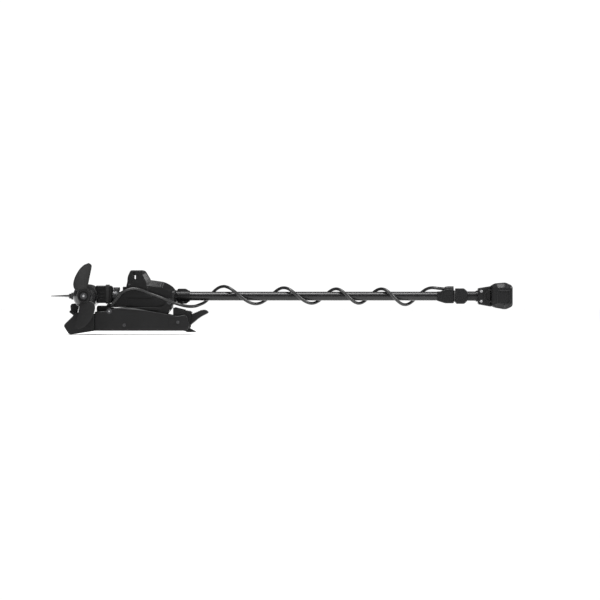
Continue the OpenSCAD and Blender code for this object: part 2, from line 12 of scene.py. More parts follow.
import bmesh
import bpy
import numpy as np
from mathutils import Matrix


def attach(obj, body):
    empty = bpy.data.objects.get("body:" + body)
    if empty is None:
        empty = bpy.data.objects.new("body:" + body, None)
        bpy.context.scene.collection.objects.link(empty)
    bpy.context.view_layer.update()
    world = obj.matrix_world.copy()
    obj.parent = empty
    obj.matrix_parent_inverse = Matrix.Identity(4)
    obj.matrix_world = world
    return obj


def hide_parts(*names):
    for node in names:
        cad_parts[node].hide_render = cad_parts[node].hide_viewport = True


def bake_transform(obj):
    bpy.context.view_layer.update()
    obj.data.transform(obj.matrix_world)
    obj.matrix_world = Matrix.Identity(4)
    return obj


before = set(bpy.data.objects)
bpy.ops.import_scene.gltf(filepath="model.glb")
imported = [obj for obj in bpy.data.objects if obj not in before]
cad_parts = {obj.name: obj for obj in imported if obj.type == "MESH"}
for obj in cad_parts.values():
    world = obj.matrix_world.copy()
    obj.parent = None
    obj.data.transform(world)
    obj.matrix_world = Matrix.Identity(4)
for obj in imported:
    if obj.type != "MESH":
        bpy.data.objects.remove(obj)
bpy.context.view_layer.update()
MM = 0.001
log = logging.getLogger("trolling_motor")
Points = np.ndarray

# Places and radii, in millimetres. A pair is X and Z.
SHAFT_Z = 124.0
SHAFT_R = 16.0
POD_X = -199.0
POD_R = 43.0
CLAMP_X = 1060.0
LIFT_AXLE = (-114, 70)
HOUSING_AXLE = (100, 104)
TIE_DECK_AXLE = (-131, 53)
TIE_HOUSING_AXLE = (18, 78)
PEDAL_AXLE = (157, 46)
SEAM = 0.15  # half the gap between two mirrored shells
SHAFT_FIT = 0.1  # clearance round the shaft


# ---------------------------------------------------------------- shader maths


class Amount:
    """A number that varies over a surface, wrapped so that sums are written as Python."""

    def __init__(self, finish: "NodeMaker", socket: bpy.types.NodeSocket) -> None:
        """Wraps a socket.

        Args:
            finish: The maker that adds nodes to the same tree.
            socket: The output socket that holds the number.
        """
        self.finish = finish
        self.socket = socket

    def _math(self, operation: str, first: object, second: object = None) -> "Amount":
        """Adds one Math node and wraps its result."""
        values = {0: first} if second is None else {0: first, 1: second}
        node = self.finish.node("ShaderNodeMath", {"operation": operation}, values)
        return Amount(self.finish, node.outputs[0])

    def __add__(self, other: object) -> "Amount":
        """Adds."""
        return self._math("ADD", self, other)

    __radd__ = __add__

    def __sub__(self, other: object) -> "Amount":
        """Takes away."""
        return self._math("SUBTRACT", self, other)

    def __mul__(self, other: object) -> "Amount":
        """Multiplies."""
        return self._math("MULTIPLY", self, other)

    __rmul__ = __mul__

    def sine(self) -> "Amount":
        """Takes the sine, in radians."""
        return self._math("SINE", self)

    def above(self, edge: float, width: float) -> "Amount":
        """Goes from 0 to 1 as the number passes an edge.

        Args:
            edge: Where the step is.
            width: How far the step takes.

        Returns:
            The step, held between 0 and 1.
        """
        step = (self - (edge - width / 2)) * (1 / width)
        node = self.finish.node("ShaderNodeClamp", {}, {"Value": step})
        return Amount(self.finish, node.outputs[0])


class NodeMaker:
    """Builds one material's nodes."""

    def __init__(self, name: str) -> None:
        """Starts an empty material.

        Args:
            name: The material's name.
        """
        self.material = bpy.data.materials.new(name)
        self.material.use_nodes = True
        self.tree = self.material.node_tree
        self.tree.nodes.clear()

    def node(self, kind: str, settings: dict, values: dict) -> bpy.types.Node:
        """Adds a node.

        Args:
            kind: The node's type.
            settings: Its properties, set first; "stops" is a ramp's list of place and colour.
            values: Its sockets, by name or number, each a value, a socket or an Amount.

        Returns:
            The node.
        """
        node = self.tree.nodes.new(kind)
        for key, value in settings.items():
            if key == "stops":
                ramp = node.color_ramp
                while len(ramp.elements) < len(value):
                    ramp.elements.new(0.5)
                for element, (place, colour) in zip(ramp.elements, value):
                    element.position, element.color = place, colour
            else:
                setattr(node, key, value)
        for key, value in values.items():
            value = value.socket if isinstance(value, Amount) else value
            if isinstance(value, bpy.types.NodeSocket):
                self.tree.links.new(value, node.inputs[key])
            else:
                node.inputs[key].default_value = value
        return node

    def place(self, stretch: tuple[float, float, float]) -> bpy.types.NodeSocket:
        """Gives the object's coordinates, stretched.

        Args:
            stretch: How many times each axis is scaled.

        Returns:
            The vector socket.
        """
        at = self.node("ShaderNodeTexCoord", {}, {}).outputs["Object"]
        return self.node("ShaderNodeMapping", {}, {"Vector": at, "Scale": stretch}).outputs[0]

    def noise(self, scale: float, detail: float = 2.0, rough: float = 0.5,
              stretch: tuple[float, float, float] = (1, 1, 1)) -> Amount:
        """Gives fractal noise from 0 to 1, mostly near a half.

        Args:
            scale: Waves to the metre.
            detail: Octaves.
            rough: How strong the small octaves are.
            stretch: How each axis is scaled first.

        Returns:
            The noise.
        """
        values = {"Vector": self.place(stretch), "Scale": scale, "Detail": detail, "Roughness": rough}
        return Amount(self, self.node("ShaderNodeTexNoise", {}, values).outputs["Fac"])

    def cells(self, scale: float, feature: str = "F1") -> Amount:
        """Gives the distance to the nearest of scattered points.

        Args:
            scale: Cells to the metre.
            feature: F1, or SMOOTH_F1 for rounded cells.

        Returns:
            The distance, in cells.
        """
        values = {"Vector": self.place((1, 1, 1)), "Scale": scale}
        spots = self.node("ShaderNodeTexVoronoi", {"feature": feature}, values)
        return Amount(self, spots.outputs["Distance"])

    def axis(self, name: str) -> Amount:
        """Gives one of the object's coordinates, in metres."""
        split = self.node("ShaderNodeSeparateXYZ", {}, {0: self.place((1, 1, 1))})
        return Amount(self, split.outputs[name])

    def mixed(self, low: tuple, high: tuple, share: Amount) -> bpy.types.NodeSocket:
        """Mixes two colours.

        Args:
            low: The colour where share is 0.
            high: The colour where share is 1.
            share: How much of the high colour there is.

        Returns:
            The colour socket.
        """
        node = self.node("ShaderNodeMix", {"data_type": "RGBA"}, {0: share, 6: (*low, 1), 7: (*high, 1)})
        return node.outputs[2]

    def close(self, shader: dict, height: Amount | None, depth: float) -> bpy.types.Material:
        """Ends the tree in a Principled shader.

        Args:
            shader: The shader's sockets, by name.
            height: The relief, from 0 to 1, or None.
            depth: How deep the relief is, in metres.

        Returns:
            The finished material.
        """
        if height is not None:
            bump = self.node("ShaderNodeBump", {}, {"Height": height, "Distance": depth, "Strength": 1.0})
            shader = {**shader, "Normal": bump.outputs[0]}
        end = self.node("ShaderNodeBsdfPrincipled", {}, shader)
        self.node("ShaderNodeOutputMaterial", {}, {"Surface": end.outputs[0]})
        return self.material


# ---------------------------------------------------------------- finishes


class Relief(Enum):
    """The small relief that a finish carries."""

    MOULDED = "moulded"
    PAINTED = "painted"
    BRUSHED = "brushed"
    DRAWN = "drawn"
    RUBBER = "rubber"
    POLISHED = "polished"
    WOUND = "wound"


@dataclass(frozen=True)
class Finish:
    """One finish: its colour, gloss and relief, with shine as the strength of its plain reflection.

    The colour drifts between the tone and the worn tone with slow noise, and the relief sets the bump.
    """

    name: str
    slot: str
    tone: tuple[float, float, float]
    worn: tuple[float, float, float]
    rough: float = 0.45
    metal: float = 0.0
    coat: float = 0.0
    relief: Relief = Relief.MOULDED
    shine: float = 0.5

    def height(self, maker: NodeMaker) -> tuple[Amount, float]:
        """Gives the relief's height and its depth in metres.

        Args:
            maker: The node maker.

        Returns:
            The height, from 0 to 1, and the depth.
        """
        if self.relief is Relief.MOULDED:
            return maker.cells(900.0, "SMOOTH_F1") + maker.noise(2200.0, 1.0), 0.00006
        if self.relief is Relief.PAINTED:
            return maker.noise(420.0, 2.0) + maker.noise(1800.0, 1.0) * 0.3, 0.00005
        if self.relief is Relief.BRUSHED:
            return maker.noise(900.0, 3.0, 0.6, (0.05, 1.0, 1.0)), 0.00003
        if self.relief is Relief.DRAWN:
            return maker.noise(700.0, 2.0, 0.6, (0.02, 1.0, 1.0)), 0.00005
        if self.relief is Relief.RUBBER:
            return maker.noise(600.0, 3.0, 0.6) + maker.noise(90.0, 2.0) * 0.6, 0.00009
        if self.relief is Relief.WOUND:
            return (maker.axis("Y") * 2400.0).sine() * 0.5 + 0.5, 0.0004
        return maker.noise(60.0, 1.0), 0.00001

    def material(self) -> bpy.types.Material:
        """Builds the material.

        Returns:
            The material, with drift in colour, dust in the hollows of the noise, and relief.
        """
        maker = NodeMaker(self.name)
        drift = (maker.noise(9.0, 3.0, 0.6) - 0.5) * 1.5 + 0.4
        speck = maker.noise(320.0, 2.0).above(0.66, 0.12)
        scuff = maker.noise(38.0, 4.0, 0.7, (1.0, 0.25, 1.0)).above(0.64, 0.10)
        share = maker.node("ShaderNodeClamp", {}, {"Value": drift + speck * 0.35 + scuff * 0.5}).outputs[0]
        colour = maker.mixed(self.tone, self.worn, Amount(maker, share))
        dull = self.rough + (maker.noise(24.0, 3.0) - 0.5) * 0.22 + scuff * 0.08 + speck * 0.05
        height, depth = self.height(maker)
        shader = {"Base Color": colour, "Roughness": dull, "Metallic": self.metal, "IOR": 1.48,
                  "Specular IOR Level": self.shine, "Coat Weight": self.coat, "Coat Roughness": 0.22}
        return maker.close(shader, height, depth)


HOUSING = Finish("housing_plastic", "black_plastic", (0.006, 0.006, 0.0062), (0.010, 0.010, 0.0104), 0.33,
                 shine=0.2)
HEAD = Finish("head_plastic", "black_plastic", (0.006, 0.006, 0.0063), (0.010, 0.010, 0.0104), 0.30,
              shine=0.2)
RAIL = Finish("rail_paint", "dark_paint", (0.006, 0.006, 0.0062), (0.010, 0.010, 0.0104), 0.36, 0.0, 0.0,
              Relief.PAINTED, 0.22)
ARM = Finish("arm_paint", "arm_paint", (0.007, 0.007, 0.0073), (0.011, 0.011, 0.0114), 0.38, 0.0, 0.0,
             Relief.PAINTED, 0.22)
TUBE = Finish("shaft_composite", "shaft_composite", (0.007, 0.007, 0.0074), (0.012, 0.012, 0.0126), 0.28,
              0.0, 0.08, Relief.DRAWN, 0.34)
POD = Finish("pod_paint", "pod_paint", (0.006, 0.006, 0.0063), (0.010, 0.010, 0.0105), 0.25, 0.0, 0.2,
             Relief.PAINTED, 0.4)
BLADE = Finish("propeller_nylon", "prop_plastic", (0.005, 0.005, 0.0052), (0.008, 0.008, 0.0083), 0.38,
               shine=0.22)
RUBBER = Finish("boot_rubber", "rubber", (0.006, 0.006, 0.0062), (0.014, 0.014, 0.014), 0.55, 0.0, 0.0,
                Relief.RUBBER)
JACKET = Finish("cable_jacket", "rubber", (0.0075, 0.0075, 0.0078), (0.014, 0.014, 0.0143), 0.30, 0.0, 0.0,
                Relief.POLISHED)
STEEL = Finish("pin_steel", "steel", (0.60, 0.60, 0.61), (0.46, 0.46, 0.47), 0.28, 1.0, 0.0, Relief.BRUSHED)
BLACKED = Finish("blackened_steel", "steel", (0.045, 0.045, 0.047), (0.085, 0.085, 0.088), 0.34, 0.85, 0.0,
                 Relief.BRUSHED)
SCREW = Finish("screw_steel", "steel", (0.40, 0.40, 0.405), (0.28, 0.28, 0.285), 0.4, 1.0, 0.0,
               Relief.BRUSHED)
ALLOY = Finish("cast_alloy", "aluminium", (0.05, 0.05, 0.052), (0.085, 0.085, 0.088), 0.36, 0.7, 0.0,
               Relief.PAINTED)
GLASS = Finish("panel_window", "screen", (0.004, 0.004, 0.005), (0.007, 0.007, 0.008), 0.10, 0.0, 0.6,
               Relief.POLISHED)
MARKS = Finish("panel_marks", "screen", (0.30, 0.31, 0.32), (0.22, 0.23, 0.24), 0.5, 0.0, 0.0,
               Relief.POLISHED)
BRASS = Finish("gear_brass", "brass", (0.56, 0.41, 0.17), (0.42, 0.30, 0.13), 0.32, 1.0, 0.0, Relief.BRUSHED)
COPPER = Finish("winding", "copper", (0.47, 0.20, 0.09), (0.34, 0.14, 0.07), 0.36, 0.9, 0.0, Relief.WOUND)
BOARD = Finish("circuit_board", "board", (0.012, 0.07, 0.03), (0.02, 0.10, 0.045), 0.4, 0.0, 0.2,
               Relief.POLISHED)


class Paintbox:
    """Makes each finish's material once."""

    def __init__(self) -> None:
        """Starts with no materials."""
        self.made: dict[str, bpy.types.Material] = {}

    def of(self, finish: Finish) -> bpy.types.Material:
        """Gives the finish's material.

        Args:
            finish: The finish.

        Returns:
            Its material.
        """
        if finish.name not in self.made:
            self.made[finish.name] = finish.material()
        return self.made[finish.name]


PAINTS = Paintbox()


# ---------------------------------------------------------------- surfaces


class Plane(Enum):
    """Which axes an outline's first, second and depth values run along."""

    SIDE = (0, 2, 1)
    CROSS = (1, 2, 0)
    TOP = (0, 1, 2)


def rounded(corners: object, radius: object, steps: int = 6) -> Points:
    """Rounds an outline's corners.

    Each corner c gives way to the curve (1-t)^2 p + 2t(1-t) c + t^2 q, where p and q lie a radius away.

    Args:
        corners: The corner points.
        radius: One radius, or one for each corner.
        steps: Points on each corner.

    Returns:
        The outline's points.
    """
    c = np.asarray(corners, float)
    back, ahead = np.roll(c, 1, 0) - c, np.roll(c, -1, 0) - c
    lb, la = np.linalg.norm(back, axis=1), np.linalg.norm(ahead, axis=1)
    cut = np.minimum(np.broadcast_to(radius, len(c)), 0.48 * np.minimum(lb, la))
    p = c + back * (cut / lb)[:, None]
    q = c + ahead * (cut / la)[:, None]
    t = np.linspace(0, 1, steps)[None, :, None]
    return ((1 - t) ** 2 * p[:, None] + 2 * t * (1 - t) * c[:, None] + t**2 * q[:, None]).reshape(-1, 2)


def dense(outline: Points, step: float) -> Points:
    """Adds points along an outline's long edges.

    The new points are where the length run round the outline is a whole number of steps.

    Args:
        outline: The points.
        step: The longest gap to leave.

    Returns:
        The old and new points, in order.
    """
    loop = np.vstack([outline, outline[:1]])
    run = np.concatenate([[0], np.cumsum(np.linalg.norm(np.diff(loop, axis=0), axis=1))])
    extra = np.arange(0, run[-1], step)
    extra = extra[np.min(np.abs(extra[:, None] - run[None, :]), axis=1) > 0.3 * step]
    at = np.sort(np.concatenate([run[:-1], extra]))
    return np.column_stack([np.interp(at, run, loop[:, 0]), np.interp(at, run, loop[:, 1])])


def shaped(corners: object, radius: object, step: float = 4.0) -> Points:
    """Gives corners' rounded outline, with points added along its long edges."""
    return dense(rounded(corners, radius), step)


def facing(outline: Points) -> Points:
    """Gives each outline point's outward normal.

    Args:
        outline: The points.

    Returns:
        The unit normals.
    """
    d = np.roll(outline, -1, 0) - np.roll(outline, 1, 0)
    d /= np.maximum(np.linalg.norm(d, axis=1), 1e-9)[:, None]
    x, y = outline.T
    turn = np.sign(np.sum(x * np.roll(y, -1) - np.roll(x, -1) * y))
    return np.stack([d[:, 1], -d[:, 0]], -1) * turn


def eased(outline: Points, edge: object) -> Points:
    """Holds an edge radius down near tight corners, so that the inset outline never folds.

    The limit at a point is 0.7 of its bend's radius, which is half the gap between its neighbours over
    the angle turned, and it rises by 0.7 for each millimetre away from that point.

    Args:
        outline: The points.
        edge: The radius wanted, for all points or for each.

    Returns:
        The radius used at each point.
    """
    a, b = outline - np.roll(outline, 1, 0), np.roll(outline, -1, 0) - outline
    la, lb = np.linalg.norm(a, axis=1), np.linalg.norm(b, axis=1)
    x, y = outline.T
    turn = np.sign(np.sum(x * np.roll(y, -1) - np.roll(x, -1) * y))
    angle = np.arctan2(a[:, 0] * b[:, 1] - a[:, 1] * b[:, 0], np.sum(a * b, axis=1)) * turn
    limit = np.where(angle > 0.02, 0.7 * 0.5 * (la + lb) / np.maximum(angle, 0.02), 1e3)
    apart = np.linalg.norm(outline[:, None] - outline[None], axis=2)
    return np.minimum(np.broadcast_to(edge, len(outline)), np.min(limit[None] + 0.7 * apart, axis=1))


def inset(outline: Points, by: object) -> Points:
    """Moves each outline point inwards along its normal, by one distance or by its own."""
    return outline - facing(outline) * np.broadcast_to(by, len(outline))[:, None]


@dataclass
class Surface:
    """Points, in millimetres, and faces that number them."""

    points: Points
    faces: list

    @classmethod
    def grid(cls, rows: Points, ring: bool = False) -> "Surface":
        """Joins rows of points by quads, with the last column meeting the first.

        Args:
            rows: An array of rows by columns by three.
            ring: Whether the last row meets the first, which otherwise are both capped.

        Returns:
            The surface.
        """
        k, n = rows.shape[:2]
        i = np.arange(k if ring else k - 1)[:, None]
        j = np.arange(n)[None, :]
        after, beside = (i + 1) % k, (j + 1) % n
        quads = np.stack([i * n + j, i * n + beside, after * n + beside, after * n + j], -1)
        faces = quads.reshape(-1, 4).tolist()
        if not ring:
            faces += [list(range(n))[::-1], list(range((k - 1) * n, k * n))]
        return cls(rows.reshape(-1, 3), faces)

    def __add__(self, other: "Surface") -> "Surface":
        """Puts two surfaces together as one."""
        n = len(self.points)
        return Surface(np.vstack([self.points, other.points]),
                       self.faces + [[i + n for i in f] for f in other.faces])

    def moved(self, x: float = 0, y: float = 0, z: float = 0) -> "Surface":
        """Gives a moved copy."""
        return Surface(self.points + np.array([x, y, z], float), self.faces)

    def mirrored(self) -> "Surface":
        """Gives a copy on the other side of Y = 0."""
        return Surface(self.points * np.array([1.0, -1.0, 1.0]), self.faces)

    def paired(self) -> "Surface":
        """Gives the surface and its mirror image as one."""
        return self + self.mirrored()

    def turned(self, axis: int, degrees: float, about: tuple[float, float, float]) -> "Surface":
        """Gives a turned copy.

        Args:
            axis: 0, 1 or 2 for X, Y or Z.
            degrees: The turn, by the right-hand rule.
            about: A point on the axis.

        Returns:
            The turned surface.
        """
        a = math.radians(degrees)
        u, v = (axis + 1) % 3, (axis + 2) % 3
        p = self.points - np.array(about, float)
        q = p.copy()
        q[:, u] = p[:, u] * math.cos(a) - p[:, v] * math.sin(a)
        q[:, v] = p[:, u] * math.sin(a) + p[:, v] * math.cos(a)
        return Surface(q + np.array(about, float), self.faces)


def slab(outline: Points, low: float, high: float, edge_low: object = 1.0, edge_high: object = None,
         plane: Plane = Plane.SIDE, steps: int = 5, bevel: bool = False) -> Surface:
    """Carries an outline across, with quarter-round or bevelled edges.

    At turn a, from 0 to a right angle, the outline is inset by edge (1 - sin a) and lies
    edge (1 - cos a) in from its end. A bevel runs straight between the same two ends.

    Args:
        outline: The outline's points.
        low: Where the first end is.
        high: Where the other end is.
        edge_low: The first end's edge radius, for all points or for each.
        edge_high: The other end's, or None for the same.
        plane: Which way the outline lies.
        steps: Rings on each edge.
        bevel: Whether the edges are flat bevels.

    Returns:
        The closed surface.
    """
    edge_high = edge_low if edge_high is None else edge_high
    a = np.linspace(0, math.pi / 2, steps)
    across, deep = (a / a[-1], a / a[-1]) if bevel else (np.sin(a), 1 - np.cos(a))
    rows = []
    for edge, end, way in ((edge_low, low, 1), (edge_high, high, -1)):
        e = eased(outline, edge)
        part = [np.column_stack([inset(outline, e * (1 - s)), end + way * e * d])
                for s, d in zip(across, deep)]
        rows += part if way > 0 else part[::-1]
    rows = np.array(rows)
    placed = np.empty_like(rows)
    for column, axis in enumerate(plane.value):
        placed[..., axis] = rows[..., column]
    return Surface.grid(placed)


def lathe(profile: object, centre: tuple[float, float, float], axis: int, around: int = 72,
          ring: bool = False) -> Surface:
    """Turns a profile about an axis.

    A profile point (s, r) becomes centre + s along the axis + r (cos t, sin t) across it.

    Args:
        profile: Points of place along the axis and radius.
        centre: The axis's zero.
        axis: 0, 1 or 2 for X, Y or Z.
        around: Points round the axis.
        ring: Whether the profile is a closed loop, for a piece with a bore.

    Returns:
        The closed surface.
    """
    p = np.asarray(profile, float)
    t = np.linspace(0, 2 * math.pi, around, endpoint=False)
    rows = np.empty((len(p), around, 3))
    rows[..., axis] = p[:, :1]
    rows[..., (axis + 1) % 3] = p[:, 1:] * np.cos(t)
    rows[..., (axis + 2) % 3] = p[:, 1:] * np.sin(t)
    return Surface.grid(rows + np.array(centre, float), ring=ring)


def curve_through(points: object, per: int) -> Points:
    """Runs a smooth curve through points.

    Between b and c it is half of 2b + (c-a)t + (2a-5b+4c-d)t^2 + (3b-a-3c+d)t^3, with a and d the
    points either side.

    Args:
        points: The points, of any number of values.
        per: Steps between neighbours.

    Returns:
        The curve's points, the last one included.
    """
    p = np.asarray(points, float)
    u = np.arange((len(p) - 1) * per + 1) / per
    i = np.minimum(u.astype(int), len(p) - 2)
    t = (u - i)[:, None]
    a, b, c, d = p[np.maximum(i - 1, 0)], p[i], p[i + 1], p[np.minimum(i + 2, len(p) - 1)]
    return 0.5 * (2 * b + (c - a) * t + (2 * a - 5 * b + 4 * c - d) * t**2 + (3 * b - a - 3 * c + d) * t**3)


def tube(path: Points, radius: object, up: tuple[float, float, float], around: int = 20) -> Surface:
    """Carries a circle along a path.

    A point is path + r (u cos t + v sin t), where u is the path's heading crossed with up, and v is
    u crossed with the heading.

    Args:
        path: The path's points.
        radius: One radius, or one for each point.
        up: A direction that the path never takes.
        around: Points round the circle.

    Returns:
        The closed surface.
    """
    d = np.gradient(path, axis=0)
    d /= np.linalg.norm(d, axis=1)[:, None]
    u = np.cross(d, np.array(up, float))
    u /= np.linalg.norm(u, axis=1)[:, None]
    v = np.cross(u, d)
    t = np.linspace(0, 2 * math.pi, around, endpoint=False)
    r = np.broadcast_to(radius, len(path))[:, None, None]
    ring = u[:, None] * np.cos(t)[None, :, None] + v[:, None] * np.sin(t)[None, :, None]
    return Surface.grid(path[:, None] + r * ring)


def rod(axis: int, place: tuple[float, float, float], length: float, radius: float,
        edge: float = 0.6, around: int = 40) -> Surface:
    """Makes a round rod with softened ends.

    Args:
        axis: 0, 1 or 2 for X, Y or Z.
        place: The middle of its first end.
        length: Its length.
        radius: Its radius.
        edge: The radius of its ends' edges.
        around: Points round it.

    Returns:
        The closed surface.
    """
    a = np.linspace(0, math.pi / 2, 4)
    start = np.column_stack([edge * (1 - np.cos(a)), radius - edge * (1 - np.sin(a))])
    end = np.column_stack([length - start[::-1, 0], start[::-1, 1]])
    return lathe(np.vstack([start, end]), place, axis, around)


def cross_rod(place: tuple[float, float], low: float, length: float, radius: float,
              edge: float = 0.6, around: int = 40) -> Surface:
    """Makes a rod along Y at a place in X and Z."""
    return rod(1, (place[0], low, place[1]), length, radius, edge, around)


def split_caps(work: bmesh.types.BMesh) -> None:
    """Splits the many-sided faces into triangles."""
    caps = [face for face in work.faces if len(face.verts) > 4]
    bmesh.ops.triangulate(work, faces=caps, ngon_method="EAR_CLIP")


def make_mesh(name: str, surface: Surface, crease: float) -> bpy.types.Mesh:
    """Puts a surface into a mesh, in metres, with its doubles merged and its faces outwards.

    Args:
        name: The mesh's name.
        surface: The surface.
        crease: The angle, in degrees, past which an edge stays sharp.

    Returns:
        The mesh.
    """
    mesh = bpy.data.meshes.new(name)
    mesh.from_pydata((surface.points * MM).tolist(), [], surface.faces)
    work = bmesh.new()
    work.from_mesh(mesh)
    bmesh.ops.remove_doubles(work, verts=work.verts, dist=2e-6)
    bmesh.ops.dissolve_degenerate(work, edges=work.edges, dist=1e-6)
    split_caps(work)
    bmesh.ops.recalc_face_normals(work, faces=work.faces)
    work.to_mesh(mesh)
    work.free()
    mesh.shade_smooth()
    mesh.set_sharp_from_angle(angle=math.radians(crease))
    return mesh


def add_piece(name: str, surface: Surface, finish: Finish, body: str, replaces: tuple[str, ...] = (),
              holes: Surface | None = None, crease: float = 38.0) -> bpy.types.Object:
    """Makes a finished piece that moves with a body.

    Args:
        name: The piece's name.
        surface: Its surface.
        finish: Its finish.
        body: The body that it rides on.
        replaces: The frame's nodes that it stands for.
        holes: A surface that is cut away from it, or None.
        crease: The angle past which an edge stays sharp.

    Returns:
        The object.
    """
    piece = bpy.data.objects.new(name, make_mesh(name, surface, crease))
    bpy.context.scene.collection.objects.link(piece)
    if holes is not None:
        cutter = bpy.data.objects.new(name + "_cut", make_mesh(name + "_cut", holes, crease))
        bpy.context.scene.collection.objects.link(cutter)
        cut = piece.modifiers.new("cut", "BOOLEAN")
        cut.operation, cut.solver, cut.object = "DIFFERENCE", "EXACT", cutter
        cut.use_self = True
        graph = bpy.context.evaluated_depsgraph_get()
        done = bpy.data.meshes.new_from_object(piece.evaluated_get(graph))
        work = bmesh.new()
        work.from_mesh(done)
        split_caps(work)
        work.to_mesh(done)
        work.free()
        piece.modifiers.clear()
        piece.data = done
        bpy.data.objects.remove(cutter)
        done.shade_smooth()
        done.set_sharp_from_angle(angle=math.radians(crease))
    piece.data.materials.clear()
    piece.data.materials.append(PAINTS.of(finish))
    even = piece.modifiers.new("even_normals", "WEIGHTED_NORMAL")
    even.mode, even.keep_sharp = "FACE_AREA", True
    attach(piece, body)
    if replaces:
        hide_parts(*replaces)
    log.info("%s: %d faces on %s", name, len(piece.data.polygons), body)
    return piece


# ---------------------------------------------------------------- stage and cable


@dataclass
class Studio:
    """The floor, the light and the camera."""

    look_x: float = 0.567
    look_z: float = 0.110
    distance: float = 12.0
    field: float = 2.16
    floor_z: float = -0.0146
    fill: float = 0.10

    def build(self) -> None:
        """Makes the camera, a pale floor, soft panels to the sides and a wide light overhead."""
        scene = bpy.context.scene
        camera = bpy.data.cameras.new("camera")
        camera.sensor_width = 36.0
        camera.lens = 36.0 * self.distance / self.field
        camera.clip_end = 200.0
        eye = bpy.data.objects.new("camera", camera)
        eye.location = (self.look_x, -self.distance, self.look_z)
        eye.rotation_euler = (math.pi / 2, 0, 0)
        scene.collection.objects.link(eye)
        scene.camera = eye
        self.floor(scene)
        self.light("left", (-3.4, -3.3, 0.9), (2.2, 2.0), 60.0, (-0.15, 0.0, 0.1))
        self.light("strip", (1.2, -2.2, 2.6), (5.0, 0.35), 44.0, (0.5, 0.0, 0.1))
        self.light("right", (3.6, -0.4, 2.3), (1.6, 2.0), 150.0, (0.1, 0.0, 0.1))
        sun = bpy.data.lights.new("overhead", "SUN")
        sun.energy, sun.angle = 3.4, math.radians(28)
        lamp = bpy.data.objects.new("overhead", sun)
        lamp.rotation_euler = (math.radians(12), math.radians(-8), 0)
        scene.collection.objects.link(lamp)

    def floor(self, scene: bpy.types.Scene) -> None:
        """Makes the floor and the sky.

        Args:
            scene: The scene.
        """
        s = 40.0
        mesh = bpy.data.meshes.new("floor")
        z = self.floor_z
        mesh.from_pydata([(-s, -s, z), (s, -s, z), (s, s, z), (-s, s, z)], [], [(0, 1, 2, 3)])
        ground = bpy.data.objects.new("floor", mesh)
        scene.collection.objects.link(ground)
        maker = NodeMaker("floor_paper")
        mesh.materials.append(maker.close({"Base Color": (0.93, 0.93, 0.93, 1), "Roughness": 1.0}, None, 0))
        world = bpy.data.worlds.new("sky")
        world.use_nodes = True
        tree = world.node_tree
        seen = tree.nodes.new("ShaderNodeLightPath").outputs["Is Camera Ray"]
        glow = tree.nodes.new("ShaderNodeMapRange")
        tree.links.new(seen, glow.inputs["Value"])
        glow.inputs["To Min"].default_value = self.fill
        glow.inputs["To Max"].default_value = 1.05
        tree.nodes["Background"].inputs["Color"].default_value = (1, 1, 1, 1)
        tree.links.new(glow.outputs["Result"], tree.nodes["Background"].inputs["Strength"])
        scene.world = world
        scene.view_settings.view_transform = "Standard"

    def light(self, name: str, place: tuple, size: tuple, power: float, aim: tuple) -> None:
        """Adds one soft panel light.

        Args:
            name: Its name.
            place: Where it is.
            size: Its width and height.
            power: Its power in watts.
            aim: What it points at.
        """
        data = bpy.data.lights.new(name, "AREA")
        data.shape, data.size, data.size_y, data.energy = "RECTANGLE", size[0], size[1], power
        lamp = bpy.data.objects.new(name, data)
        lamp.location = place
        way = np.array(aim, float) - np.array(place, float)
        flat = math.hypot(way[0], way[1])
        lamp.rotation_euler = (math.atan2(flat, -way[2]), 0, math.atan2(way[1], way[0]) - math.pi / 2)
        bpy.context.scene.collection.objects.link(lamp)


